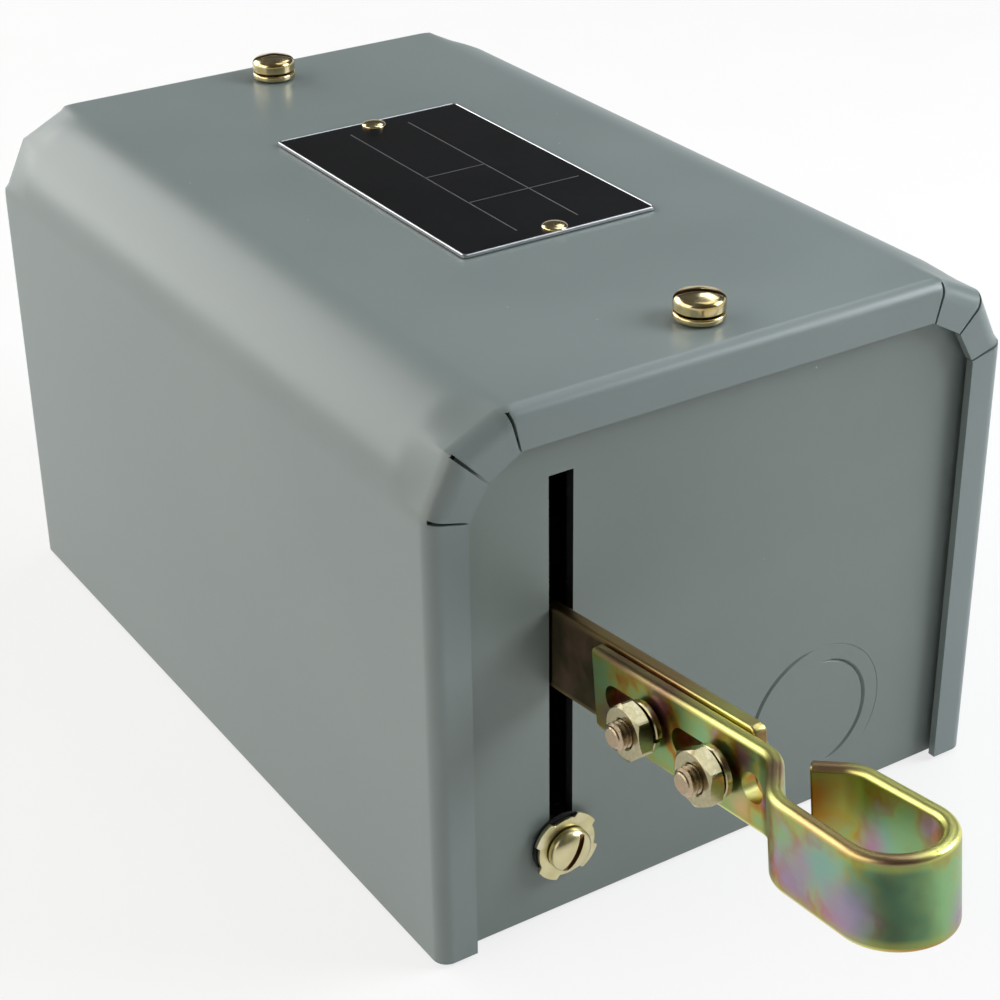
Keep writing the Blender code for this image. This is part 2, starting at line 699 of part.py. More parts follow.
def base_cutter():
    """Everything that is pierced or pressed into the base channel."""
    bm = bmesh.new()
    outside = -PLATE_FACE - PAST
    inside = -PLATE_FACE + BASE_SHEET + PAST
    slot_radius = SLOT_WIDTH / 2
    top = SLOT_TOP
    slot = arc((SLOT_X, STOP_HEIGHT), slot_radius, 180, 360, 8)
    slot += [(SLOT_X + slot_radius, top), (SLOT_X - slot_radius, top)]
    add_prism(bm, "y", slot, outside, inside)
    centre = (KNOCKOUT_X, KNOCKOUT_HEIGHT)
    grooves = (
        (KNOCKOUT_OUTER_RADIUS, KNOCKOUT_OUTER_SHEARED, KNOCKOUT_DEEP),
        (KNOCKOUT_OUTER_RADIUS, KNOCKOUT_OUTER_MARKED, KNOCKOUT_SHALLOW),
        (KNOCKOUT_INNER_RADIUS, KNOCKOUT_INNER_SHEARED, KNOCKOUT_DEEP),
    )
    for radius, (first, last), depth in grooves:
        inner = radius - KNOCKOUT_GROOVE / 2
        outer = radius + KNOCKOUT_GROOVE / 2
        band = ring_sector(centre, inner, outer, first, last, ROUND_STEPS)
        add_prism(bm, "y", band, outside, -PLATE_FACE + depth)
    for x_side in (-1, 1):
        for y_side in (-1, 1):
            x = x_side * (BASE_HALF - MOUNT_HOLE_FROM_SIDE)
            y = y_side * (PLATE_FACE - MOUNT_HOLE_FROM_END)
            add_prism(bm, "z", circle((x, y), MOUNT_HOLE_RADIUS), -PAST, BASE_SHEET + PAST)
            low_x, high_x = sorted((x_side * TOP_TAB_WIDTH / 2, x_side * (BASE_HALF + PAST)))
            low_y, high_y = sorted((y_side * (PLATE_FACE - BASE_BEND_RADIUS), 0))
            tab_low = BASE_TOP - BASE_SHEET - PAST
            add_box(bm, (low_x, low_y, tab_low), (high_x, high_y, BASE_TOP + PAST))
    for _, y in cover_screw_places():
        hole = circle((0, y), COVER_SCREW_RADIUS + GAP)
        add_prism(bm, "z", hole, BASE_TOP - BASE_SHEET - PAST, BASE_TOP + PAST)
    for place in bracket_screw_places():
        add_prism(bm, "z", circle(place, BRACKET_SCREW_RADIUS + GAP), -PAST, BASE_SHEET + PAST)
    for _, x, y in block_screw_places():
        add_prism(bm, "z", circle((x, y), BRACKET_SCREW_RADIUS + GAP), -PAST, BASE_SHEET + PAST)
    return bm


def make_base_channel():
    face = PLATE_FACE
    top = BASE_TOP
    sheet = BASE_SHEET
    outside = BASE_BEND_RADIUS
    inside = BASE_BEND_RADIUS - BASE_SHEET
    tab_end = face - TOP_TAB_LENGTH
    foot = BASE_FOOT_RADIUS
    corners = [(-tab_end, top, 0), (-face, top, outside), (-face, 0, foot), (face, 0, foot)]
    corners += [(face, top, outside), (tab_end, top, 0), (tab_end, top - sheet, 0)]
    corners += [(face - sheet, top - sheet, inside), (face - sheet, sheet, 0)]
    corners += [(-face + sheet, sheet, 0), (-face + sheet, top - sheet, inside)]
    corners += [(-tab_end, top - sheet, 0)]
    bm = bmesh.new()
    add_prism(bm, "x", rounded(corners, BEND_STEPS), -BASE_HALF, BASE_HALF)
    channel = piece("base_channel", bm, ENAMEL)
    radius = COVER_CORNER_RADIUS - COVER_SHEET - COVER_CLEARANCE
    shoulder = COVER_HEIGHT - COVER_CORNER_RADIUS
    right = [(BASE_HALF + PAST, -PAST), (BASE_HALF + PAST, shoulder)]
    right += arc((BASE_HALF - radius, shoulder), radius, 0, PLATE_CORNER_ARC, CORNER_STEPS)
    right += [(right[-1][0], top + PAST)]
    outline = right + [(-x, z) for x, z in right[::-1]]
    keep = bmesh.new()
    add_prism(keep, "y", outline, -face - PAST, face + PAST)
    combine(channel, keep, "INTERSECT")
    combine(channel, base_cutter())


def make_stop():
    """The screw at the foot of the lever slot, with a lobed washer, a fibre washer and a nut inside."""
    turn = (90, 0, 0)
    fibre_y = -PLATE_FACE - GAP
    washer_y = fibre_y - STOP_FIBRE_THICKNESS - GAP
    head_y = washer_y - STOP_WASHER_THICKNESS - GAP
    bore = STOP_SCREW_RADIUS + GAP
    ring_washer("stop_fibre_washer", STOP_FIBRE_RADIUS, bore, STOP_FIBRE_THICKNESS, BLACK_FIBRE,
                ROUND_STEPS, location=(SLOT_X, fibre_y, STOP_HEIGHT), turn=turn)
    outline = []
    for lobe in range(4):
        middle = 45 + 90 * lobe + STOP_WASHER_TURN
        first = middle - STOP_WASHER_LOBE / 2
        last = middle + STOP_WASHER_LOBE / 2
        outline += arc((0, 0), STOP_WASHER_RADIUS, first, last, 6)
        outline += arc((0, 0), STOP_WASHER_RADIUS - STOP_WASHER_NOTCH, last, first + 90, 4)
    bm = bmesh.new()
    add_prism(bm, "z", outline, 0, STOP_WASHER_THICKNESS, [circle((0, 0), bore, ROUND_STEPS)])
    piece("stop_washer", bm, PALE_ZINC, location=(SLOT_X, washer_y, STOP_HEIGHT), turn=turn)
    nut_y = -PLATE_FACE + BASE_SHEET + GAP
    shank = nut_y + NUT_THICKNESS + STOP_PAST_NUT - head_y
    sizes = (STOP_HEAD_RADIUS, STOP_HEAD_HEIGHT, STOP_SCREW_RADIUS, shank)
    slotted_screw("stop_screw", sizes, PALE_ZINC, ROUND_STEPS, STOP_SLOT_TURN,
                  location=(SLOT_X, head_y, STOP_HEIGHT), turn=turn)
    hex_nut("stop_nut", NUT_ACROSS_FLATS, NUT_THICKNESS, bore, PALE_ZINC,
            location=(SLOT_X, nut_y, STOP_HEIGHT), turn=(-90, 0, 0))


def make_u_bracket(name, left, right, front, back, pin, pin_radius, screws):
    """A sheet bracket screwed to the base, with a pin hole through both cheeks."""
    top = pin[1] + BRACKET_ABOVE_PIN
    low = FLOOR_TOP
    sheet = BRACKET_SHEET
    profile = [(left, low), (right, low), (right, top), (right - sheet, top), (right - sheet, low + sheet)]
    profile += [(left + sheet, low + sheet), (left + sheet, top), (left, top)]
    bm = bmesh.new()
    add_prism(bm, "y", profile, front, back)
    bracket = piece(name, bm, PLATED_STEEL)
    cutter = bmesh.new()
    hole = circle(pin, pin_radius + RUNNING_GAP)
    add_prism(cutter, "x", hole, left - PAST, right + PAST)
    for x, y in screws:
        add_prism(cutter, "z", circle((x, y), BRACKET_SCREW_RADIUS + GAP), low - PAST, low + sheet + PAST)
    combine(bracket, cutter)


def make_pin_with_rings(names, radius, left, right, y, z):
    """A pin through two cheeks, held by a split ring outside each of them."""
    pin_name, left_name, right_name = names
    turn = (0, 90, 0)
    reach = GAP + RING_THICKNESS + PIN_END
    round_pin(pin_name, radius, left - reach, right + reach, PLATED_STEEL, location=(0, y, z), turn=turn)
    for name, x in ((left_name, left - GAP - RING_THICKNESS), (right_name, right + GAP)):
        split_ring(name, radius + RING_RADIUS_EXTRA, radius + RUNNING_GAP, RING_THICKNESS, RING_SPLIT,
                   SPRING_STEEL, location=(x, y, z), turn=turn)


def make_lever_mount():
    front = PIVOT_Y - LEVER_BRACKET_AHEAD
    back = PIVOT_Y + LEVER_BRACKET_BEHIND
    screws = bracket_screw_places()[:2]
    make_u_bracket("lever_bracket", LEVER_BRACKET_LEFT, LEVER_BRACKET_RIGHT, front, back,
                   (PIVOT_Y, PIVOT_HEIGHT), PIVOT_PIN_RADIUS, screws)
    names = ("lever_pivot_pin", "lever_pivot_ring_left", "lever_pivot_ring_right")
    make_pin_with_rings(names, PIVOT_PIN_RADIUS, LEVER_BRACKET_LEFT, LEVER_BRACKET_RIGHT,
                        PIVOT_Y, PIVOT_HEIGHT)
    inner = PIVOT_PIN_RADIUS + RUNNING_GAP
    left_cheek = LEVER_BRACKET_LEFT + BRACKET_SHEET
    right_cheek = LEVER_BRACKET_RIGHT - BRACKET_SHEET
    for side, low, high in (("left", left_cheek, LEVER_LEFT), ("right", LEVER_RIGHT, right_cheek)):
        length = high - low - 2 * GAP
        ring_washer("lever_spacer_" + side, inner + SPACER_WALL, inner, length, BRASS, SMALL_ROUND_STEPS,
                    location=(low + GAP, PIVOT_Y, PIVOT_HEIGHT), turn=(0, 90, 0))


def make_lever(axis):
    half = LEVER_HEIGHT / 2
    corner = LEVER_END_CORNER
    outline = [(-LEVER_REACH, -half, corner), (LEVER_TAIL, -half, LEVER_TAIL_CORNER)]
    outline += [(LEVER_TAIL, half, LEVER_TAIL_CORNER), (-LEVER_REACH, half, corner)]
    holes = [
        circle((0, 0), PIVOT_PIN_RADIUS + RUNNING_GAP),
        circle((SPRING_POST_REACH, 0), SPRING_POST_RADIUS + GAP),
        circle((-BOLT_INNER, 0), BOLT_RADIUS + GAP),
        circle((-BOLT_OUTER, 0), BOLT_RADIUS + GAP),
    ]
    bm = bmesh.new()
    add_prism(bm, "x", rounded(outline, 6), LEVER_LEFT, LEVER_RIGHT, holes)
    piece("lever_bar", bm, YELLOW_ZINC, axis)
    post_end = SPRING_X + SPRING_WIRE_RADIUS + POST_PAST_SPRING
    bm = bmesh.new()
    head_high = LEVER_LEFT - GAP
    head_low = head_high - POST_HEAD_HEIGHT
    profile = [(0, head_low), (POST_HEAD_RADIUS, head_low), (POST_HEAD_RADIUS, head_high)]
    profile += [(SPRING_POST_RADIUS, head_high), (SPRING_POST_RADIUS, post_end), (0, post_end)]
    add_turned(bm, profile, SMALL_ROUND_STEPS)
    piece("lever_spring_post", bm, PLATED_STEEL, axis, (0, SPRING_POST_REACH, 0), (0, 90, 0))
    for end, reach in (("inner", BOLT_INNER), ("outer", BOLT_OUTER)):
        make_lever_bolt(end, reach, axis)


def make_lever_bolt(end, reach, axis):
    """One bolt through the bar and the bracket's slot, with its lock washer and nut at -X."""
    turn = (0, -90, 0)
    under_head = LEVER_RIGHT + GAP
    bolt_end = NUT_LEFT - BOLT_PAST_NUT
    bm = bmesh.new()
    shank = under_head - bolt_end
    profile = [(BOLT_HEAD_RADIUS * radius, -BOLT_HEAD_HEIGHT * height) for radius, height in HEAD_DOME[::-1]]
    profile += [(BOLT_HEAD_RADIUS, -BOLT_HEAD_HEIGHT * HEAD_RIM), (BOLT_HEAD_RADIUS, 0), (BOLT_RADIUS, 0)]
    profile += [(BOLT_RADIUS, shank - BOLT_CHAMFER), (BOLT_RADIUS - BOLT_CHAMFER, shank), (0, shank)]
    add_turned(bm, profile, ROUND_STEPS)
    piece("lever_bolt_" + end, bm, PALE_ZINC, axis, (under_head, -reach, 0), turn)
    bore = BOLT_RADIUS + GAP
    split_ring("lever_lock_washer_" + end, LOCK_WASHER_RADIUS, bore, LOCK_WASHER_THICKNESS,
               LOCK_WASHER_SPLIT, PALE_ZINC, parent=axis, location=(STRIP_LEFT - GAP, -reach, 0), turn=turn)
    hex_nut("lever_nut_" + end, NUT_ACROSS_FLATS, NUT_THICKNESS, bore, PALE_ZINC,
            parent=axis, location=(LOCK_WASHER_LEFT - GAP, -reach, 0), turn=turn)


def loop_line():
    """The bracket strip's middle line in plan: (sideways, away from the pivot) points."""
    start = BOLT_INNER - STRIP_BEHIND_BOLT
    bend = BOLT_OUTER + BEND_FROM_BOLT
    neck = bend + JOG_LENGTH
    tip = neck + LOOP_LENGTH
    corners = [(0, start, 0), (0, bend, JOG_RADIUS), (-JOG_SIDE, neck, JOG_RADIUS)]
    corners += [(-LOOP_NEAR_SIDE, tip, LOOP_NEAR_RADIUS), (LOOP_FAR_SIDE, tip, LOOP_FAR_RADIUS)]
    corners += [(LOOP_NECK_SIDE, neck + LOOP_NECK_AHEAD, LOOP_NECK_RADIUS)]
    corners += [(LOOP_END_SIDE, neck - LOOP_END_BACK, 0)]
    return rounded(corners, LOOP_STEPS, closed=False)


def make_loop_bracket(slide):
    half = STRIP_HEIGHT / 2
    line = [(STRIP_MIDDLE + side, -away) for side, away in loop_line()]
    bm = bmesh.new()
    add_prism(bm, "z", thickened(line, STRIP_THICKNESS), -half, half)
    bracket = piece("loop_bracket", bm, YELLOW_ZINC, slide)
    cutter = bmesh.new()
    left = STRIP_LEFT - PAST
    right = STRIP_LEFT + STRIP_THICKNESS + PAST
    for reach in (BOLT_INNER, BOLT_OUTER):
        slot = stadium((-reach, 0), (-reach + ADJUST_TRAVEL, 0), ADJUST_SLOT_WIDTH / 2)
        add_prism(cutter, "x", slot, left, right)
    spare = (-BOLT_OUTER - SPARE_HOLE_FROM_BOLT, 0)
    add_prism(cutter, "x", circle(spare, SPARE_HOLE_RADIUS), left, right)
    start = -BOLT_INNER + STRIP_BEHIND_BOLT
    clip = STRIP_CLIPPED_CORNER
    for side in (-1, 1):
        corner = [(start - clip, side * (half + PAST)), (start + PAST, side * (half + PAST))]
        corner += [(start + PAST, side * (half - clip)), (start, side * (half - clip))]
        corner += [(start - clip, side * half)]
        add_prism(cutter, "x", corner, left, right)
    combine(bracket, cutter)


def make_rocker_mount():
    left = ROCKER_LEFT - GAP - BRACKET_SHEET
    right = ROCKER_RIGHT + GAP + BRACKET_SHEET
    screws = bracket_screw_places()[2:]
    make_u_bracket("rocker_bracket", left, right, ROCKER_Y - ROCKER_BRACKET_DEPTH,
                   ROCKER_Y + ROCKER_BRACKET_DEPTH, (ROCKER_Y, ROCKER_HEIGHT), ROCKER_PIN_RADIUS, screws)
    names = ("rocker_pin", "rocker_ring_left", "rocker_ring_right")
    make_pin_with_rings(names, ROCKER_PIN_RADIUS, left, right, ROCKER_Y, ROCKER_HEIGHT)


def make_rocker(axis):
    """The moulded rocker: a hub bar with one arm for each pole and a tail for the spring."""
    hub = ROCKER_HUB
    outline = [(ROCKER_LEFT, hub), (ROCKER_LEFT, -hub)]
    for pole in POLE_X:
        low = pole - ROCKER_ARM_WIDTH / 2
        high = pole + ROCKER_ARM_WIDTH / 2
        outline += [(low, -hub), (low, -ROCKER_ARM_REACH), (high, -ROCKER_ARM_REACH), (high, -hub)]
    tail_right = ROCKER_TAIL_LEFT + ROCKER_TAIL_WIDTH
    outline += [(ROCKER_RIGHT, -hub), (ROCKER_RIGHT, hub), (tail_right, hub)]
    outline += [(tail_right, ROCKER_TAIL_REACH), (ROCKER_TAIL_LEFT, ROCKER_TAIL_REACH)]
    outline += [(ROCKER_TAIL_LEFT, hub)]
    half = ROCKER_THICKNESS / 2
    bm = bmesh.new()
    add_prism(bm, "z", outline, -half, half)
    rocker = piece("contact_rocker", bm, PHENOLIC, axis)
    cutter = bmesh.new()
    bore = circle((0, 0), ROCKER_PIN_RADIUS + RUNNING_GAP)
    add_prism(cutter, "x", bore, ROCKER_LEFT - PAST, ROCKER_RIGHT + PAST)
    post_hole = circle((ROCKER_POST_REACH, 0), SPRING_POST_RADIUS + GAP)
    add_prism(cutter, "x", post_hole, ROCKER_TAIL_LEFT - PAST, tail_right + PAST)
    for pole in POLE_X:
        hole = circle((pole, -CONTACT_REACH), BRIDGE_RIVET_RADIUS + GAP)
        add_prism(cutter, "z", hole, -half - PAST, half + PAST)
    combine(rocker, cutter)
    post_low = SPRING_X - SPRING_WIRE_RADIUS - POST_PAST_SPRING
    round_pin("rocker_spring_post", SPRING_POST_RADIUS, post_low, tail_right, PLATED_STEEL,
              parent=axis, location=(0, ROCKER_POST_REACH, 0), turn=(0, 90, 0))
    for side, pole in zip(("left", "right"), POLE_X):
        make_bridge(side, pole, axis)


def make_bridge(side, pole, axis):
    """A moving contact bar under one arm, with two tips that face the fixed contacts, and its rivet."""
    top = BRIDGE_TOP - ROCKER_HEIGHT
    bottom = BRIDGE_BOTTOM - ROCKER_HEIGHT
    half_length = BRIDGE_LENGTH / 2
    half_width = BRIDGE_WIDTH / 2
    y = -CONTACT_REACH
    outline = [(pole - half_length, y - half_width), (pole + half_length, y - half_width)]
    outline += [(pole + half_length, y + half_width), (pole - half_length, y + half_width)]
    hole = circle((pole, y), BRIDGE_RIVET_RADIUS + GAP)
    bm = bmesh.new()
    add_prism(bm, "z", outline, bottom, top, [hole])
    bridge = piece("contact_bridge_" + side, bm, BRASS, axis)
    tips = bmesh.new()
    for tip in (-1, 1):
        centre = (pole + tip * CONTACT_HALF_SPAN, y)
        inside_bar = bottom + BRIDGE_THICKNESS / 2
        add_prism(tips, "z", circle(centre, CONTACT_RADIUS), bottom - CONTACT_TIP_HEIGHT, inside_bar)
    combine(bridge, tips, "UNION")
    length = top - bottom + 2 * GAP + ROCKER_THICKNESS
    bm = bmesh.new()
    head = BRIDGE_RIVET_HEAD_HEIGHT
    profile = [(0, -head), (BRIDGE_RIVET_HEAD, -head), (BRIDGE_RIVET_HEAD, 0), (BRIDGE_RIVET_RADIUS, 0)]
    profile += [(BRIDGE_RIVET_RADIUS, length), (0, length)]
    add_turned(bm, profile, SMALL_ROUND_STEPS)
    piece("bridge_rivet_" + side, bm, BRASS, axis, (pole, y, bottom - GAP))


def make_contact_block():
    front = CONTACT_Y - BLOCK_AHEAD_OF_CONTACT
    back = CONTACT_Y + BLOCK_BEHIND_CONTACT
    low = FLOOR_TOP
    foot_top = low + BLOCK_FOOT_HEIGHT
    foot_left = BLOCK_LEFT - BLOCK_FOOT_WIDTH
    foot_right = BLOCK_RIGHT + BLOCK_FOOT_WIDTH
    profile = [(foot_left, low), (foot_right, low), (foot_right, foot_top), (BLOCK_RIGHT, foot_top)]
    profile += [(BLOCK_RIGHT, BLOCK_TOP), (BLOCK_LEFT, BLOCK_TOP)]
    profile += [(BLOCK_LEFT, foot_top), (foot_left, foot_top)]
    bm = bmesh.new()
    add_prism(bm, "y", profile, front, back)
    block = piece("contact_block", bm, PHENOLIC)
    barriers = bmesh.new()
    half = BARRIER_THICKNESS / 2
    middles = [(a + b) / 2 for a, b in zip(TERMINAL_X, TERMINAL_X[1:])]
    middles += [BLOCK_LEFT + half + GAP, BLOCK_RIGHT - half - GAP]
    for x in middles:
        add_box(barriers, (x - half, front + GAP, BLOCK_TOP - PAST),
                (x + half, front + BARRIER_LENGTH, BLOCK_TOP + BARRIER_HEIGHT))
    combine(block, barriers, "UNION")
    cutter = bmesh.new()
    for x in TERMINAL_X:
        hole = circle((x, CONTACT_Y - TERMINAL_SCREW_AHEAD), TERMINAL_SCREW_RADIUS + GAP)
        add_prism(cutter, "z", hole, BLOCK_TOP - TERMINAL_SCREW_DEPTH, BLOCK_TOP + PAST)
    for _, x, y in block_screw_places():
        add_prism(cutter, "z", circle((x, y), BRACKET_SCREW_RADIUS + GAP), low - PAST, foot_top + PAST)
    combine(block, cutter)


def make_terminals():
    low = TERMINAL_TOP - TERMINAL_THICKNESS
    half = TERMINAL_WIDTH / 2
    screw_y = CONTACT_Y - TERMINAL_SCREW_AHEAD
    shank = TERMINAL_THICKNESS + TERMINAL_SCREW_DEPTH - GAP
    sizes = (TERMINAL_SCREW_HEAD, INNER_HEAD_HEIGHT, TERMINAL_SCREW_RADIUS, shank)
    for number, x in enumerate(TERMINAL_X, 1):
        outline = [(x - half, CONTACT_Y - TERMINAL_AHEAD), (x + half, CONTACT_Y - TERMINAL_AHEAD)]
        outline += [(x + half, CONTACT_Y + TERMINAL_BEHIND), (x - half, CONTACT_Y + TERMINAL_BEHIND)]
        bm = bmesh.new()
        hole = circle((x, screw_y), TERMINAL_SCREW_RADIUS + GAP)
        add_prism(bm, "z", outline, low, TERMINAL_TOP, [hole])
        terminal = piece(f"terminal_{number}", bm, BRASS)
        button = bmesh.new()
        middle = low + TERMINAL_THICKNESS / 2
        add_prism(button, "z", circle((x, CONTACT_Y), CONTACT_RADIUS), middle, FIXED_CONTACT_TOP)
        combine(terminal, button, "UNION")
        slotted_screw(f"terminal_screw_{number}", sizes, BRASS, SMALL_ROUND_STEPS, INNER_SCREW_TURN * number,
                      location=(x, screw_y, TERMINAL_TOP + GAP))


def make_inner_screws():
    head = (BRACKET_SCREW_HEAD, INNER_HEAD_HEIGHT, BRACKET_SCREW_RADIUS)
    for number, (x, y) in enumerate(bracket_screw_places(), 1):
        under_head = WEB_TOP + GAP
        slotted_screw(f"bracket_screw_{number}", (*head, under_head - GAP), PLATED_STEEL, SMALL_ROUND_STEPS,
                      INNER_SCREW_TURN * number, location=(x, y, under_head))
    for side, x, y in block_screw_places():
        under_head = FLOOR_TOP + BLOCK_FOOT_HEIGHT + GAP
        slotted_screw("block_screw_" + side, (*head, under_head - GAP), PLATED_STEEL, SMALL_ROUND_STEPS,
                      location=(x, y, under_head))


def spring_points():
    """The spring's middle line: a hook round each post, joined by an unbroken coil."""
    tilt = math.radians(-LEVER_TILT)
    first = Vector((SPRING_X, PIVOT_Y + SPRING_POST_REACH * math.cos(tilt),
                    PIVOT_HEIGHT + SPRING_POST_REACH * math.sin(tilt)))
    last = Vector((SPRING_X, ROCKER_Y + ROCKER_POST_REACH, ROCKER_HEIGHT))
    along = (last - first).normalized()
    side = Vector((1, 0, 0))
    up = side.cross(along)
    hold = SPRING_POST_RADIUS + SPRING_WIRE_RADIUS + GAP
    hook = [(SPRING_HOOK_START + (270 - SPRING_HOOK_START) * step / SPRING_HOOK_POINTS)
            for step in range(SPRING_HOOK_POINTS + 1)]

    def hooked(post, heading):
        centre = post + heading * (SPRING_RADIUS - hold)
        ring = []
        for degrees in hook:
            angle = math.radians(degrees)
            ring.append(centre + (heading * math.cos(angle) + up * math.sin(angle)) * SPRING_RADIUS)
        return ring

    coil_length = SPRING_TURNS * SPRING_PITCH
    middle = (first + last) / 2
    lead = SPRING_LEAD_ANGLE / 360
    count = SPRING_TURNS * SPRING_POINTS_PER_TURN
    coil = []
    for step in range(count + 1):
        turns = lead + (SPRING_TURNS - 2 * lead) * step / count
        angle = math.tau * turns
        out = -up * math.cos(angle) + side * math.sin(angle)
        coil.append(middle + along * (turns * SPRING_PITCH - coil_length / 2) + out * SPRING_RADIUS)
    return hooked(first, along) + coil + hooked(last, -along)[::-1]


def make_toggle_spring():
    points = spring_points()
    near = SPRING_POINTS_PER_TURN // 2
    least = math.inf
    for index, point in enumerate(points):
        for other in points[index + near:]:
            least = min(least, (point - other).length - 2 * SPRING_WIRE_RADIUS)
    print(f"toggle_spring least gap to itself {least:.2f} mm")
    curve = bpy.data.curves.new("toggle_spring", "CURVE")
    curve.dimensions = "3D"
    curve.bevel_depth = SPRING_WIRE_RADIUS * MM
    curve.bevel_resolution = 1
    curve.use_fill_caps = True
    spline = curve.splines.new("POLY")
    spline.points.add(len(points) - 1)
    for target, point in zip(spline.points, points):
        target.co = (*(point * MM), 1.0)
    spring = bpy.data.objects.new("toggle_spring", curve)
    curve.materials.append(finish_material("toggle_spring", SPRING_STEEL))
    bpy.context.collection.objects.link(spring)


def main():
    clear_scene()
    lift = empty("cover_lift", (0, 0, 0))
    lever_axis = empty("lever_axis", (0, PIVOT_Y, PIVOT_HEIGHT), -LEVER_TILT)
    rocker_axis = empty("rocker_axis", (0, ROCKER_Y, ROCKER_HEIGHT))
    make_cover(lift)
    make_cover_trim(lift)
    make_base_channel()
    make_stop()
    make_lever_mount()
    make_lever(lever_axis)
    make_loop_bracket(lever_axis)
    make_rocker_mount()
    make_rocker(rocker_axis)
    make_contact_block()
    make_terminals()
    make_inner_screws()
    make_toggle_spring()


main()
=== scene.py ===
"""Looks of the lever-operated float switch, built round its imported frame.

Shapes are drawn in millimetres and turned into metres where a mesh is made. Pieces of the lever are
drawn in the lever's own axes: X across, Y back from the pivot along the bar, Z up across the bar.
"""

import json
import math
from functools import partial

import bmesh
import bpy
from mathutils import Matrix, Vector


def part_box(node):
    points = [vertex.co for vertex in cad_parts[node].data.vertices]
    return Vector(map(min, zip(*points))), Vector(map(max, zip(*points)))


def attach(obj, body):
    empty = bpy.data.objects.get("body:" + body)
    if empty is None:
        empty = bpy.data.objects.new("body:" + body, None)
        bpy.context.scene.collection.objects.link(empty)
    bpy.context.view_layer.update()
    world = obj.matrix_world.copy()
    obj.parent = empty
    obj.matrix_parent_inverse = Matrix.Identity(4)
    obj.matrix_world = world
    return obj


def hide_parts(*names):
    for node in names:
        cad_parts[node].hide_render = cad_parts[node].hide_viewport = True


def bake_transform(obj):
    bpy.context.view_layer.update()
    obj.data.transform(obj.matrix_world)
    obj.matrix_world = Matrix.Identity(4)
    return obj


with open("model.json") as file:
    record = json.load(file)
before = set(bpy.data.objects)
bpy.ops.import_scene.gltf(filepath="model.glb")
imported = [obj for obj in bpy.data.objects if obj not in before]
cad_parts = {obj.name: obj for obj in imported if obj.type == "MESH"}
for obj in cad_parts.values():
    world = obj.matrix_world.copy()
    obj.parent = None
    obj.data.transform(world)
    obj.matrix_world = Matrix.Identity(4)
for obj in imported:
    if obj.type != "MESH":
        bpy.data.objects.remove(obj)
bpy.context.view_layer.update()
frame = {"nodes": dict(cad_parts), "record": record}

MM = 0.001

# How far a cutter reaches past what it cuts, and the play round a screw in its hole
PAST = 1.0
GAP = 0.3

# Steps in whole circles, domes, slot ends, lobes, small corners, section corners and rims
ROUND_STEPS = 48
DOME_STEPS = 10
SLOT_STEPS = 16
LOBE_STEPS = 12
SMALL_STEPS = 8
SECTION_STEPS = 6
RIM_STEPS = 3

# Edges up to the first angle are shaded smooth, and cut edges over the second are rounded
SMOOTH_ANGLE = 32.0
BEVEL_ANGLE = 50.0

# Camera, matched to the photograph
CAMERA_PLACE = (-200.8, -331.3, 247.0)
CAMERA_HEADING = -32.21
CAMERA_DIP = 28.99
CAMERA_ROLL = -0.81
CAMERA_LENS = 80.7
SENSOR_WIDTH = 36.0
CAMERA_NEAR = 0.01

# Places taken from the frame, in millimetres
joints = {joint["name"]: joint for joint in frame["record"]["behaviour"]["joints"]}
PIVOT = Vector(joints["lever_hinge"]["pos_m"]) / MM
OUTWARD = Vector(joints["loop_slide"]["axis"])
LEVER_TILT = math.atan2(OUTWARD.z, -OUTWARD.y)
LEVER_AXES = Matrix.Translation(PIVOT * MM) @ Matrix.Rotation(-LEVER_TILT, 4, "X")


def box_mm(node):
    """A node's lowest and highest corners."""
    low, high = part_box(node)
    return Vector(low) / MM, Vector(high) / MM


def middle_mm(node):
    low, high = box_mm(node)
    return (low + high) / 2


# Cover sheet
COVER_LOW, COVER_HIGH = box_mm("cover")
CORNER_RADIUS = 17.0
COVER_SHOULDER = COVER_HIGH.z - CORNER_RADIUS
SHEET = 1.5
FLANGE = 7.1
TAB_RADIUS = 8.9
EDGE_RADIUS = 2.6
TAB_EDGE_RADIUS = 3.4
# Angles up from the side where the corner tabs' straight folds meet, how far along the cover the folds reach,
# and the shares of that where the section has its points
FACET_ANGLES = (7.5, 45.0, 82.5)
FACET_REACH = 13.0
FACET_SHARES = (0.3, 0.65, 1.0)
CORNER_STEPS = 24
EDGE_STEPS = 8
SLIT_WIDTH_INNER = 0.3
SLIT_WIDTH_OUTER = 0.6
SLIT_END = 0.5
# Each slit's angle up from the side, at its inner and its outer end
SLIT_ANGLES = ((0.0, 7.5), (45.0, 45.0), (90.0, 82.5))
SHEET_EDGE = 0.2

# Base channel
BASE_SHEET = 1.9
BASE_BEND = 3.0
BASE_FOOT = 0.5
BASE_CORNER = 14.8
BASE_CORNER_ARC = 84.0
BASE_EDGE = 0.22
TOP_TAB_LENGTH = 17.0
TOP_TAB_WIDTH = 24.0
MOUNT_HOLE = 2.8
MOUNT_HOLE_FROM_SIDE = 12.0
MOUNT_HOLE_FROM_END = 11.0
SLOT_WIDTH = 4.6
SLOT_BELOW_TOP = 14.5
# A face is a wall of the slot if its normal has less than this along Y
SLOT_WALL_LEAN = 0.5
INSIDE_SCREW_HOLE = 2.2
INSIDE_SCREWS = ("bracket_screw_1", "bracket_screw_2", "bracket_screw_3", "bracket_screw_4",
                 "block_screw_left", "block_screw_right")
# Middle of the knockout on the end plate, and its grooves: radius, first angle, last angle, depth
KNOCKOUT = (22.8, 18.8)
KNOCKOUT_GROOVES = ((14.3, 94.0, 241.0, 0.55), (14.3, -41.0, 100.0, 0.14), (11.0, -81.0, 90.0, 0.55))
GROOVE_HALF_ANGLE = 40.0
GROOVE_FADE = 0.2
GROOVE_RUN_OUT = 0.03
GROOVE_STEPS = 48

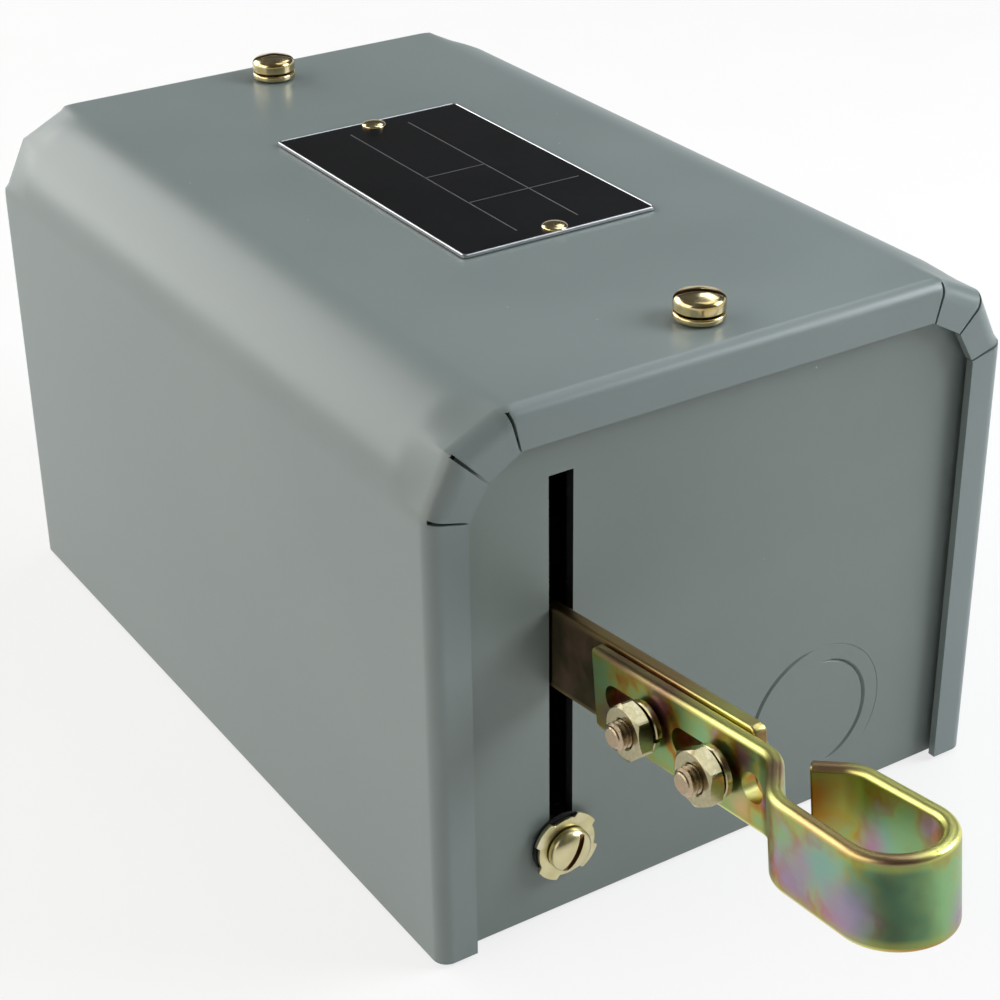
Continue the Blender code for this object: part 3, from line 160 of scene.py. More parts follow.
# Loop bracket
STRIP_HEIGHT = 14.1
STRIP_THICKNESS = 2.4
STRIP_MIDDLE = box_mm("lever_bar")[0].x - STRIP_THICKNESS / 2
STRIP_ROUND = 0.95
STRIP_END_ROUND = 0.3
STRIP_BEHIND_BOLT = 14.8
# Clipped corners of the strip's inner end, below and above
STRIP_CLIPS = {-1: 1.4, 1: 0.6}
BOLT_OUTER = 111.4
BOLT_INNER = 94.4
ADJUST_TRAVEL = 9.2
ADJUST_SLOT_WIDTH = 4.7
SPARE_HOLE_FROM_BOLT = 7.3
SPARE_HOLE_RADIUS = 2.4
BEND_FROM_BOLT = 11.4
JOG_LENGTH = 8.4
JOG_SIDE = 7.1
JOG_RADIUS = 7.5
LOOP_LENGTH = 23.2
LOOP_NEAR_SIDE = 7.8
LOOP_NEAR_RADIUS = 7.6
LOOP_FAR_SIDE = 7.2
LOOP_FAR_RADIUS = 7.0
LOOP_NECK_SIDE = 6.5
LOOP_NECK_AHEAD = 1.4
LOOP_NECK_RADIUS = 6.0
LOOP_END_SIDE = 1.9
LOOP_END_BACK = 3.35
LOOP_STEPS = 20
PUNCH_ROUND = 0.3

# Lever bar
LEVER_REACH = 116.5
LEVER_TAIL = 17.0
LEVER_HEIGHT = 15.0
LEVER_END_CORNER = 1.2
LEVER_TAIL_CORNER = 5.0
LEVER_ROUND = 0.45
PIVOT_HOLE = 2.7
SPRING_POST_REACH = 12.0
SPRING_POST_HOLE = 1.8

# Bolts, nuts and washers on the lever
BOLT_RADIUS = 2.2
THREAD_PITCH = 0.8
THREAD_DEPTH = 0.42
THREAD_CREST = 0.16
THREAD_FLANK = 0.2
BOLT_POINT = 0.4
BOLT_END_ROUND = 0.14
BOLT_HEAD_RADIUS = 3.9
BOLT_HEAD_HEIGHT = 2.6
BOLT_HEAD_RIM = 1.1
BOLT_HOLE = 2.45
NUT_ACROSS_FLATS = 8.4
NUT_THICKNESS = 2.6
NUT_TURNS = {"inner": 36.0, "outer": 25.0}
NUT_FACE = 0.97
NUT_CONE = 30.0
NUT_SMOOTH = 15.0
NUT_BLUNT = 0.1
NUT_SINK = 0.35
NUT_BORE = 2.26
LOCK_RADIUS = 4.1
LOCK_EDGE = 0.18
LOCK_SPLIT = 9.0
LOCK_RISE = 0.35
LOCK_TURNS = {"inner": -10.0, "outer": 150.0}

# Screws and plates on the cover
COVER_HEAD_RADIUS = 4.3
COVER_HEAD_HEIGHT = 3.2
COVER_HEAD_SIDE = 1.45
COVER_HEAD_EDGE = 1.15
COVER_HEAD_EDGE_ARC = 76.0
COVER_HEAD_UNDERCUT = 0.3
COVER_HEAD_CROWN = (0.7, 0.4, 0.15)
SLOT_EDGE = 0.12
COVER_SLOT = 1.15
COVER_SLOT_DEPTH = 1.6
COVER_SHANK = 2.4
COVER_WASHER_RADIUS = 4.35
COVER_WASHER_THICKNESS = 1.2
COVER_WASHER_EDGE = 0.35
COVER_SCREW_TURNS = {"front": -36.0, "rear": -24.0}
NAMEPLATE_THICKNESS = 0.6
NAMEPLATE_RIM = 0.3
NAMEPLATE_CORNER = 0.8
NAMEPLATE_EDGE = 0.12
NAMEPLATE_RULE = 0.22
NAMEPLATE_RULE_RISE = 0.03
FACING_UP = 0.9
# Plain rules as shares of the plate's width and length: left, front, right, rear
NAMEPLATE_RULES = ((0.66, 0.07, 0.66, 0.93), (0.34, 0.07, 0.34, 0.93), (0.34, 0.3, 0.66, 0.3),
                   (0.34, 0.52, 0.66, 0.52), (0.66, 0.3, 0.93, 0.3))
RIVET_RADIUS = 2.35
RIVET_HEIGHT = 0.85
RIVET_RIM = 0.15
RIVET_SHANK = 1.2

# Stop screw
STOP_HEAD_RADIUS = 4.0
STOP_HEAD_HEIGHT = 2.6
STOP_HEAD_RIM = 0.6
STOP_SLOT = 1.0
STOP_SLOT_DEPTH = 1.0
STOP_SLOT_TURN = 60.0
STOP_SHANK = 2.0
STOP_LOBE_RADIUS = 6.5
STOP_NOTCH_RADIUS = 5.6
STOP_LOBES = 4
STOP_LOBE = 42.0
STOP_NOTCH_SLOPE = 4.0
STOP_TURN = 5.0
STOP_WASHER_THICKNESS = 0.8
STOP_WASHER_EDGE = 0.2

# Toggle spring
SPRING_WIRE = 0.4
SPRING_RADIUS = 2.75
SPRING_TURNS = 12
SPRING_PITCH = 1.7
SPRING_STEPS = 20
SPRING_HOOK_START = 75.0
SPRING_HOOK_END = 270.0
SPRING_LEAD = 30.0
WIRE_SIDES = 10

# Paper: the share of plain white that it shows, and in metres its floor and its rim far round the object
PAPER_WHITE = 0.75
PAPER_REACH = 6.0
PAPER_DROP = 0.0005
BACKDROP_START = 4.0
BACKDROP_REACH = 5.8
BACKDROP_HEIGHT = 1.1
BACKDROP_STEPS = 12

# Lamp colours, and the room's tones from level to overhead
WARM = "#fff7ec"
NEUTRAL = "#fffefc"
COOL = "#f6fbff"
ROOM_TONES = ((0.0, "#484848"), (0.2, "#444444"), (0.5, "#525252"), (1.0, "#6a6a6a"))

# Lamps: name, place and size in metres, watts, colour; all point at one target
LAMP_TARGET = (0.0, -0.03, 0.05)
LAMPS = (
    ("window_left", (-1.0, 0.15, 0.55), (1.0, 0.7), 5.6, WARM),
    ("window_behind", (-0.5, 1.13, 0.56), (1.2, 1.0), 12.5, NEUTRAL),
    ("panel_behind_right", (0.63, 0.47, 0.86), (0.3, 0.3), 1.1, COOL),
    ("overhead", (0.5, -0.05, 1.1), (0.7, 0.7), 3.0, COOL),
    ("side_right", (0.48, -0.34, 0.4), (0.35, 0.35), 3.4, COOL),
)

# Dust nibs in the enamel: size as a share of their spacing, share of places that have one, strength
NIB_SIZE = 0.045
NIB_SHARE = 0.14
NIB_STRENGTH = 0.4
NIB_COLOUR = "#c8cdca"

# Plated film on the lever: how far its clouds drift, how far heights are drawn together so that clouds stand
# taller than long, the clouds' strength, the rolling marks drawn out along the strip, and the film's colours;
# the bronzes are painted shade on the bar and moss a painted reflection on the loop
FILM_DRIFT = 5.0
FILM_SQUASH = 0.75
CLOUD_STRENGTH = 0.92
ROLL_STRETCH = 0.06
FILM = {"olive": "#a3a552", "green": "#86b07c", "teal": "#7ea69c", "lavender": "#9488a4", "rose": "#aa7c98",
        "straw": "#dcdc84", "peach": "#c8a672", "amber": "#a86c1c", "umber": "#94705f", "moss": "#3a5242",
        "bronze": "#6b5a3a", "dark_bronze": "#4c402b", "brass": "#b8964e"}
# Ground colours by share; clouds as film colour, sideways, away from the pivot, up, reach in millimetres;
# rims as film colour, where each starts and is full in from the edge, strength, and the clouds on it
BRACKET_GROUND = ((0.0, "olive"), (0.3, "green"), (0.55, "olive"), (0.75, "amber"), (1.0, "rose"))
# Among the bracket's clouds, the moss pair at the loop's tip is a painted reflection, and pale clouds low on
# the strip are partly painted reflections of the floor
BRACKET_CLOUDS_AND_REFLECTIONS = (("umber", -1.2, 83, -3, 4), ("rose", -1.2, 97, 4, 4), ("green", -1.2, 107, 3, 5),
                  ("peach", -1.2, 116, -4, 4), ("rose", -1.2, 116.5, 5, 3), ("umber", -3, 124, 0, 5),
                  ("green", -9, 134.5, 3, 5), ("lavender", -9, 137, -3, 6), ("rose", -9, 139.5, 1, 4),
                  ("teal", -9, 143, 2, 7), ("rose", -9, 145.5, -5, 6), ("lavender", -8.8, 148.5, -2, 6),
                  ("green", -1, 156, 0, 9), ("moss", -6.4, 153, 3, 8), ("moss", -5.6, 153.5, -4, 8),
                  ("lavender", 5, 154.8, -5, 5), ("amber", 2.5, 129, 2, 7), ("olive", 5, 133, 3, 6),
                  ("teal", 5.6, 138, -1, 6), ("rose", 5.4, 136, -4, 4), ("green", 6, 143, 1, 7))
BRACKET_RIM_CLOUDS = (("umber", -0.5, 86, 7, 14), ("umber", -0.5, 98, 7, 12), ("umber", -3.5, 126, 7, 7),
                      ("peach", -9, 139, 7, 8), ("peach", -9, 147, 7, 9), ("umber", -6, 153.5, 7, 7),
                      ("umber", 2.5, 129.5, 7, 7), ("amber", -2, 156, -7, 12))
# The straw rim along the strip's rounded edges is partly the film and partly a painted highlight
BRACKET_RIM_AND_HIGHLIGHT = ((("olive", 2.4, 1.2, 0.4), ()), (("straw", 1.1, 0.5, 0.95), BRACKET_RIM_CLOUDS))
# The bar's dark bronze ground is painted shade and a painted reflection of the dark plate and slot; the brass
# cloud at its far end and the straw rim cloud are painted light, the dark bronze rim cloud painted shade, the
# peach rim partly painted highlight
BAR_SHADE_GROUND = ((0.0, "dark_bronze"), (0.5, "bronze"), (1.0, "umber"))
BAR_LIT_END_CLOUDS = (("brass", 2.4, 117, 0, 6),)
BAR_RIM_SHADE_AND_HIGHLIGHT = (("dark_bronze", 2.4, 62, 7.5, 18), ("straw", 2.4, 110, 7.5, 14))
BAR_RIM_HIGHLIGHT = ((("peach", 1.2, 0.4, 0.8), BAR_RIM_SHADE_AND_HIGHLIGHT),)


# Materials


def linear(hex_colour):
    """An sRGB hex colour as linear values."""
    channels = [int(hex_colour[start:start + 2], 16) / 255 for start in (1, 3, 5)]
    return (*[c / 12.92 if c <= 0.04045 else ((c + 0.055) / 1.055) ** 2.4 for c in channels], 1.0)


def per(size_mm):
    """The texture scale at which one unit of a pattern is size_mm across."""
    return 1 / (size_mm * MM)


def with_nodes(holder):
    """A material or world with an empty node tree."""
    holder.use_nodes = True
    holder.node_tree.nodes.clear()
    return holder


def add(holder, kind, inputs=None, stops=(), out=0, **settings):
    """Add a node with its settings, colour stops and inputs (values or outputs), and give one output."""
    node = holder.node_tree.nodes.new("ShaderNode" + kind)
    for name, value in settings.items():
        setattr(node, name, value)
    for socket, value in (inputs or {}).items():
        if isinstance(value, bpy.types.NodeSocket):
            holder.node_tree.links.new(value, node.inputs[socket])
        else:
            node.inputs[socket].default_value = value
    for index, (place, colour) in enumerate(stops):
        elements = node.color_ramp.elements
        element = elements[index] if index < len(elements) else elements.new(place)
        element.position = place
        element.color = linear(colour)
    return node.outputs[out] if node.outputs else None


# Most of a noise lies between these values
NOISE_RANGE = {"From Min": 0.3, "From Max": 0.7}
# How a Mix node is set to mix colours, and the places of its two colours
COLOUR_MIX = {"data_type": "RGBA", "out": 2}
MIX_FIRST = 6
MIX_SECOND = 7


def new_surface(name):
    """An empty material, a short way to add its nodes, and the place on the piece that patterns go by."""
    material = with_nodes(bpy.data.materials.new(name))
    node = partial(add, material)
    return material, node, node("TexCoord", out="Object")


def baked_enamel(name, light, dark, roughness):
    """Grey alkyd enamel, sprayed on pressed steel and baked.

    It flows out to a faint orange peel, clouds a little where the coat is thinner, and holds a few
    pale dust nibs under a semi-gloss skin.
    """
    material, node, place = new_surface(name)
    cloud = node("TexNoise", {"Vector": place, "Scale": per(55), "Detail": 3.0})
    tint = node("ValToRGB", {"Fac": cloud}, ((0.35, dark), (0.65, light)))
    nib = node("TexVoronoi", {"Vector": place, "Scale": per(4.5), "Randomness": 1.0})
    small = node("Math", {0: nib, 1: NIB_SIZE}, operation="LESS_THAN")
    lot = node("SeparateColor", {"Color": nib.node.outputs["Color"]})
    chosen = node("Math", {0: lot, 1: 1 - NIB_SHARE}, operation="GREATER_THAN")
    shown = node("Math", {0: small, 1: chosen}, operation="MULTIPLY")
    faint = node("Math", {0: shown, 1: NIB_STRENGTH}, operation="MULTIPLY")
    colour = node("Mix", {"Factor": faint, MIX_FIRST: tint, MIX_SECOND: linear(NIB_COLOUR)}, **COLOUR_MIX)
    gloss = node("MapRange", {"Value": cloud, **NOISE_RANGE, "To Min": roughness - 0.03,
                              "To Max": roughness + 0.05})
    peel = node("TexNoise", {"Vector": place, "Scale": per(2.2), "Detail": 1.5})
    bump = node("Bump", {"Height": peel, "Strength": 0.16, "Distance": 0.05 * MM})
    shader = node("BsdfPrincipled", {"Base Color": colour, "Roughness": gloss, "Normal": bump})
    node("OutputMaterial", {"Surface": shader})
    return material


def yellow_chromate(name, ground, clouds, rim, half_height, roughness):
    """Yellow hexavalent chromate over zinc plate on cold-rolled strip.

    The passive film changes thickness in clouds, so the metal runs through olive, green, teal, lavender
    and rose. Some colours are painted light instead: a bar's dark bronze ground is painted shade, the moss
    clouds at the loop's tip are a painted reflection, and pale clouds low on the strip are partly painted
    reflections of the floor. The rounded edges are drawn pale, partly as the film thins there and partly as a
    painted highlight. Rolling marks lie along the strip, drawn about ten times as coarse as real ones so that
    they show.
    """
    material, node, place = new_surface(name)
    drift = node("TexNoise", {"Vector": place, "Scale": per(7), "Detail": 2.0}, out="Color")
    centred = node("VectorMath", {0: drift, 1: (0.5, 0.5, 0.5)}, operation="SUBTRACT")
    moved = node("VectorMath", {0: centred, 1: (FILM_DRIFT * MM,) * 3, 2: place}, operation="MULTIPLY_ADD")
    squashed = node("VectorMath", {0: moved, 1: (1.0, 1.0, FILM_SQUASH)}, operation="MULTIPLY")
    film = node("TexNoise", {"Vector": squashed, "Scale": per(6), "Detail": 2.5})
    spread = node("MapRange", {"Value": film, **NOISE_RANGE})
    base = node("ValToRGB", {"Fac": spread}, [(share, FILM[tint]) for share, tint in ground])

    def add_clouds(colour, rows):
        for tint, side, away, up, reach in rows:
            centre = Vector((STRIP_MIDDLE + side, -away, up * FILM_SQUASH)) * MM
            gap = node("VectorMath", {0: squashed, 1: centre}, out="Value", operation="DISTANCE")
            share = node("MapRange", {"Value": gap, "From Min": 0.0, "From Max": reach * MM,
                                      "To Min": CLOUD_STRENGTH, "To Max": 0.0},
                         interpolation_type="SMOOTHSTEP")
            colour = node("Mix", {"Factor": share, MIX_FIRST: colour, MIX_SECOND: linear(FILM[tint])},
                          **COLOUR_MIX)
        return colour

    colour = add_clouds(base, clouds)
    height = node("SeparateXYZ", {"Vector": place}, out="Z")
    off = node("Math", {0: height}, operation="ABSOLUTE")
    # Paler rims along the rounded edges: partly the film, partly painted highlight
    for (tint, inner, outer, strength), rows in rim:
        edge = node("MapRange", {"Value": off, "From Min": (half_height - inner) * MM,
                                 "From Max": (half_height - outer) * MM, "To Max": strength},
                    interpolation_type="SMOOTHSTEP")
        rim_colour = add_clouds(linear(FILM[tint]), rows)
        colour = node("Mix", {"Factor": edge, MIX_FIRST: colour, MIX_SECOND: rim_colour}, **COLOUR_MIX)
    stretched = node("Mapping", {"Vector": place, "Scale": (1.0, ROLL_STRETCH, 1.0)})
    rolled = node("TexNoise", {"Vector": stretched, "Scale": per(0.7), "Detail": 2.0})
    gloss = node("MapRange", {"Value": rolled, "To Min": roughness - 0.06, "To Max": roughness + 0.08})
    bump = node("Bump", {"Height": rolled, "Strength": 0.1, "Distance": 0.02 * MM})
    shader = node("BsdfPrincipled", {"Base Color": colour, "Metallic": 1.0, "Roughness": gloss,
                                     "Normal": bump})
    node("OutputMaterial", {"Surface": shader})
    return material


def bright_metal(name, patch_mm, roughness, grain_mm, *stops):
    """Bare or plated metal, turned, pressed, drawn or rolled: a bright skin with soft clouds of tone.

    Its tool marks are drawn several times as coarse as real ones so that they show.
    """
    material, node, place = new_surface(name)
    clouds = node("TexNoise", {"Vector": place, "Scale": per(patch_mm), "Detail": 3.0})
    spread = node("MapRange", {"Value": clouds, **NOISE_RANGE})
    tint = node("ValToRGB", {"Fac": spread}, stops)
    grain = node("TexNoise", {"Vector": place, "Scale": per(grain_mm), "Detail": 2.0})
    gloss = node("MapRange", {"Value": grain, "To Min": roughness - 0.04, "To Max": roughness + 0.04})
    bump = node("Bump", {"Height": grain, "Strength": 0.06, "Distance": 0.008 * MM})
    shader = node("BsdfPrincipled", {"Base Color": tint, "Metallic": 1.0, "Roughness": gloss,
                                     "Normal": bump})
    node("OutputMaterial", {"Surface": shader})
    return material


def dark_matt(name, light, dark, roughness, grain_mm):
    """Filled moulding, fibre, or painted shade on sheet edges: dark and slightly mottled, with a fine matt
    grain.
    """
    material, node, place = new_surface(name)
    mottle = node("TexNoise", {"Vector": place, "Scale": per(3.0), "Detail": 4.0})
    tint = node("ValToRGB", {"Fac": mottle}, ((0.3, dark), (0.7, light)))
    grain = node("TexNoise", {"Vector": place, "Scale": per(grain_mm), "Detail": 2.0})
    bump = node("Bump", {"Height": grain, "Strength": 0.2, "Distance": 0.05 * MM})
    shader = node("BsdfPrincipled", {"Base Color": tint, "Roughness": roughness, "Normal": bump})
    node("OutputMaterial", {"Surface": shader})
    return material


def black_lacquer(name):
    """Black lacquer on thin etched sheet: satin, with faint handling marks that dull the gloss."""
    material, node, place = new_surface(name)
    marks = node("TexNoise", {"Vector": place, "Scale": per(9.0), "Detail": 5.0})
    tint = node("ValToRGB", {"Fac": marks}, ((0.3, "#060709"), (0.75, "#0e0f12")))
    gloss = node("MapRange", {"Value": marks, "To Min": 0.3, "To Max": 0.5})
    shader = node("BsdfPrincipled", {"Base Color": tint, "Roughness": gloss, "Specular IOR Level": 0.1})
    node("OutputMaterial", {"Surface": shader})
    return material


# The base's coat is a little greener and duller than the cover's, and a shade darker as painted shade on its
# front plate
COVER_ENAMEL = baked_enamel("baked_grey_enamel_cover", "#7f8a89", "#798483", 0.34)
BASE_ENAMEL_SHADED = baked_enamel("baked_grey_enamel_base_shaded", "#7c8682", "#76807c", 0.4)
# The bracket's film runs through many colours; the bar's is painted dark bronze as shade and as a reflection
# of the dark plate and slot, with a paler rim that is partly painted highlight
BRACKET_CHROMATE = yellow_chromate("yellow_chromate_zinc_strip", BRACKET_GROUND, BRACKET_CLOUDS_AND_REFLECTIONS, BRACKET_RIM_AND_HIGHLIGHT,
                                   STRIP_HEIGHT / 2, 0.34)
BAR_CHROMATE_PAINTED_SHADE = yellow_chromate("yellow_chromate_zinc_bar_painted_shade", BAR_SHADE_GROUND, BAR_LIT_END_CLOUDS, BAR_RIM_HIGHLIGHT,
                               LEVER_HEIGHT / 2, 0.32)
# Cover screws and rivets: smooth, warm and shiny
GOLD_ZINC = bright_metal("gold_chromate_zinc_turned", 5.0, 0.18, 0.9,
                         (0.0, "#cbb478"), (0.5, "#dccda0"), (1.0, "#b39a62"))
# Stop screw and lobed washer: a paler film, softer in its shine
PALE_ZINC = bright_metal("pale_chromate_zinc_pressed", 6.0, 0.3, 0.6,
                         (0.0, "#d5cca2"), (0.6, "#c3ba8e"), (1.0, "#dcd6b8"))
# Nuts and lock washers are greyer and closely clouded; the bolts have a coppery cast
BOLT_ZINC = bright_metal("pale_chromate_zinc_nut", 1.2, 0.24, 0.5,
                         (0.0, "#aea686"), (0.5, "#a49c7a"), (1.0, "#b6ae90"))
COPPERY_ZINC = bright_metal("pale_chromate_zinc_thread", 2.5, 0.28, 0.4,
                            (0.0, "#b4967c"), (0.5, "#a39678"), (1.0, "#bca48e"))
# Inside metals: cool grey zinc, darker spring wire and yellow brass
BRIGHT_ZINC = bright_metal("bright_zinc_pressed_steel", 10.0, 0.34, 0.7, (0.0, "#b9bcc0"), (1.0, "#a2a6a8"))
SPRING_STEEL = bright_metal("drawn_spring_steel", 3.0, 0.28, 0.4, (0.0, "#8e9094"), (1.0, "#7a7c80"))
ROLLED_BRASS = bright_metal("rolled_brass", 6.0, 0.3, 0.6,
                            (0.0, "#d3ae62"), (0.6, "#c09a50"), (1.0, "#b08a4a"))
# The nameplate's bare rim and rules are pale and bright beside its black field
BARE_ALUMINIUM = bright_metal("bare_aluminium_edge", 4.0, 0.32, 0.5, (0.0, "#c4c6c8"), (1.0, "#aeb0b2"))
# The inside mouldings are dark brown with a dull shine
PHENOLIC = dark_matt("moulded_phenolic", "#3a2f2a", "#2a211d", 0.42, 0.8)
# The walls of a driver slot are painted dark brown and dull as painted shade in the recess
DRIVER_SLOT_PAINTED_SHADE = bright_metal("driver_slot_painted_shade", 1.5, 0.45, 0.6, (0.0, "#8c7052"), (1.0, "#6a5038"))
# The walls of the lever's slot are painted almost black as painted shade
SLOT_WALL_PAINTED_SHADE = dark_matt("slot_wall_painted_shade", "#1f2022", "#141516", 0.6, 0.5)
# The fibre washer is a dead black beside the plated ones; the black washer also stands in as painted shade
# for the gap under the lobed washer
FIBRE_AND_PAINTED_SHADE = dark_matt("vulcanised_fibre_and_painted_shade", "#1b1b1c", "#101011", 0.7, 0.5)
NAMEPLATE_BLACK = black_lacquer("black_lacquer_on_sheet")


# Mesh tools


def mesh_of(name, bm):
    """A mesh that an object can hold, from one in the making."""
    mesh = bpy.data.meshes.new(name)
    bm.to_mesh(mesh)
    bm.free()
    return mesh


def put_in_scene(name, data):
    """An object of a mesh, lamp or camera, linked to the scene."""
    made = bpy.data.objects.new(name, data)
    bpy.context.collection.objects.link(made)
    return made


def finish_piece(name, bm, materials, body, nodes, axes=None, smooth_angle=SMOOTH_ANGLE, bends=None):
    """Make an object from a mesh in millimetres, place it, and hide the nodes it stands for.

    It rides on a body; given bends (body, other body, start, end), it is only fixed where it stands, and what
    bends holds is not used.
    """
    bmesh.ops.recalc_face_normals(bm, faces=bm.faces)
    bmesh.ops.scale(bm, vec=(MM, MM, MM), verts=bm.verts)
    mesh = mesh_of(name, bm)
    mesh.shade_smooth()
    mesh.set_sharp_from_angle(angle=math.radians(smooth_angle))
    for material in materials:
        mesh.materials.append(material)
    made = put_in_scene(name, mesh)
    flat = made.modifiers.new("flat_faces_stay_flat", "WEIGHTED_NORMAL")
    flat.keep_sharp = True
    if axes:
        made.matrix_world = axes
        bpy.context.view_layer.update()
    if bends:
        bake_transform(made)
    else:
        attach(made, body)
    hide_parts(*nodes)
    return made


def add_loft(bm, rings, ends_closed=False, capped=True):
    """Join closed rings of points with faces. The run of rings can close on itself or be capped."""
    rows = [[bm.verts.new(point) for point in ring] for ring in rings]
    pairs = list(zip(rows, rows[1:]))
    if ends_closed:
        pairs.append((rows[-1], rows[0]))
    for here, after in pairs:
        for index in range(len(here)):
            bm.faces.new((here[index - 1], here[index], after[index], after[index - 1]))
    if capped and not ends_closed:
        bm.faces.new(rows[0])
        bm.faces.new(rows[-1])


def loft(rings, **ends):
    """A new mesh of one loft."""
    bm = bmesh.new()
    add_loft(bm, rings, **ends)
    return bm


def circle(centre, radius):
    angles = [math.tau * step / ROUND_STEPS for step in range(ROUND_STEPS)]
    return [(centre[0] + radius * math.cos(angle), centre[1] + radius * math.sin(angle)) for angle in angles]


def arc(centre, radius, first, last, steps):
    points = []
    for step in range(steps + 1):
        angle = math.radians(first + (last - first) * step / steps)
        points.append((centre[0] + radius * math.cos(angle), centre[1] + radius * math.sin(angle)))
    return points


def turned(profile):
    """Turn (radius, height) points about Z. A radius of 0 closes an end; otherwise the profile is a ring."""
    bm = bmesh.new()
    rings = []
    for radius, height in profile:
        points = circle((0, 0), radius) if radius else [(0, 0)]
        rings.append([bm.verts.new((x, y, height)) for x, y in points])
    pairs = list(zip(rings, rings[1:]))
    if profile[0][0]:
        pairs.append((rings[-1], rings[0]))
    for low, high in pairs:
        for step in range(ROUND_STEPS):
            after = (step + 1) % ROUND_STEPS
            corners = [low[step % len(low)], low[after % len(low)]]
            corners += [high[after % len(high)], high[step % len(high)]]
            bm.faces.new(list(dict.fromkeys(corners)))
    return bm


def dome(radius, rim, height):
    """Turned points of a domed head, from its rim up to its top on the axis."""
    points = []
    for step in range(DOME_STEPS):
        angle = math.radians(90 * step / DOME_STEPS)
        points.append((radius * math.cos(angle), rim + (height - rim) * math.sin(angle)))
    return points + [(0, height)]


def add_prism(bm, axis, outline, low, high):
    """An outline drawn across an axis and extended along it from low to high."""
    def at(a, b, height):
        return {"x": (height, a, b), "y": (a, height, b), "z": (a, b, height)}[axis]

    add_loft(bm, [[at(a, b, height) for a, b in outline] for height in (low, high)])


def prism(axis, outline, low, high):
    """A new mesh of one prism."""
    bm = bmesh.new()
    add_prism(bm, axis, outline, low, high)
    return bm


def add_hole(bm, node, radius, low, high):
    """A round cutter through flat sheet, at a screw's or rivet's middle."""
    place = middle_mm(node)
    add_prism(bm, "z", circle((place.x, place.y), radius), low, high)


def rectangle(left, right, low, high):
    return [(left, low), (right, low), (right, high), (left, high)]


def rounded_line(corners, steps, closed=False):
    """A line through (a, b, radius) corners, each rounded by an arc of that radius."""
    points = []
    for index, (a, b, radius) in enumerate(corners):
        here = Vector((a, b))
        if radius == 0 or (not closed and index in (0, len(corners) - 1)):
            points.append((a, b))
            continue
        before = (Vector(corners[index - 1][:2]) - here).normalized()
        after = (Vector(corners[(index + 1) % len(corners)][:2]) - here).normalized()
        half = before.angle(after) / 2
        centre = here + (before + after).normalized() * (radius / math.sin(half))
        start = here + before * (radius / math.tan(half)) - centre
        sweep = math.pi - 2 * half
        if before.x * after.y - before.y * after.x > 0:
            sweep = -sweep
        for step in range(steps + 1):
            angle = sweep * step / steps
            x = start.x * math.cos(angle) - start.y * math.sin(angle)
            y = start.x * math.sin(angle) + start.y * math.cos(angle)
            points.append((centre.x + x, centre.y + y))
    return points


def rounded_rectangle(left, right, low, high, radius):
    corners = [(a, b, radius) for a, b in rectangle(left, right, low, high)]
    return rounded_line(corners, SECTION_STEPS, closed=True)


def cut(bm, cutter, round_mm=0.0, round_steps=2, operation="DIFFERENCE"):
    """Cut one mesh by another and, if asked, round the sharp edges that are left."""
    objects = []
    for name, source in (("cut_body", bm), ("cut_tool", cutter)):
        bmesh.ops.recalc_face_normals(source, faces=source.faces)
        objects.append(put_in_scene(name, mesh_of(name, source)))
    body, tool = objects
    boolean = body.modifiers.new("cut", "BOOLEAN")
    boolean.object = tool
    boolean.operation = operation
    boolean.solver = "EXACT"
    boolean.use_self = True
    if round_mm:
        bevel = body.modifiers.new("round", "BEVEL")
        bevel.width = round_mm
        bevel.segments = round_steps
        bevel.limit_method = "ANGLE"
        bevel.angle_limit = math.radians(BEVEL_ANGLE)
        bevel.use_clamp_overlap = True
    bpy.context.view_layer.update()
    result = bpy.data.meshes.new_from_object(body.evaluated_get(bpy.context.evaluated_depsgraph_get()))
    done = bmesh.new()
    done.from_mesh(result)
    for made in objects:
        bpy.data.objects.remove(made, do_unlink=True)
    return done


def facing(direction, place):
    """Axes at a place in millimetres whose Z points along a direction."""
    turn = Vector(direction).to_track_quat("Z", "Y").to_matrix().to_4x4()
    return Matrix.Translation(Vector(place) * MM) @ turn


def over(node, height):
    """Upright axes over a node's middle, at a height."""
    place = middle_mm(node)
    return facing((0, 0, 1), (place.x, place.y, height))


def outward(side, angle):
    """A direction at an angle up from the left (-1) or right (1)."""
    return Vector((side * math.cos(math.radians(angle)), math.sin(math.radians(angle))))


# Cover


def tab_radius(share):
    """How far a corner tab's straight inner edge lies from the corner's centre, over half a corner."""
    end = CORNER_RADIUS - FLANGE
    span = math.radians(45)
    angle = share * span
    return end * TAB_RADIUS * math.sin(span) / (end * math.sin(angle) + TAB_RADIUS * math.sin(span - angle))


def facet_drop(angle):
    """How far a tab's straight fold lies inside the round corner, at an angle up from the side."""
    for first, last in zip(FACET_ANGLES, FACET_ANGLES[1:]):
        if first <= angle <= last:
            half = math.radians(last - first) / 2
            off = math.radians(angle) - math.radians(first + last) / 2
            return CORNER_RADIUS * (1 - math.cos(half) / math.cos(off))
    return 0.0


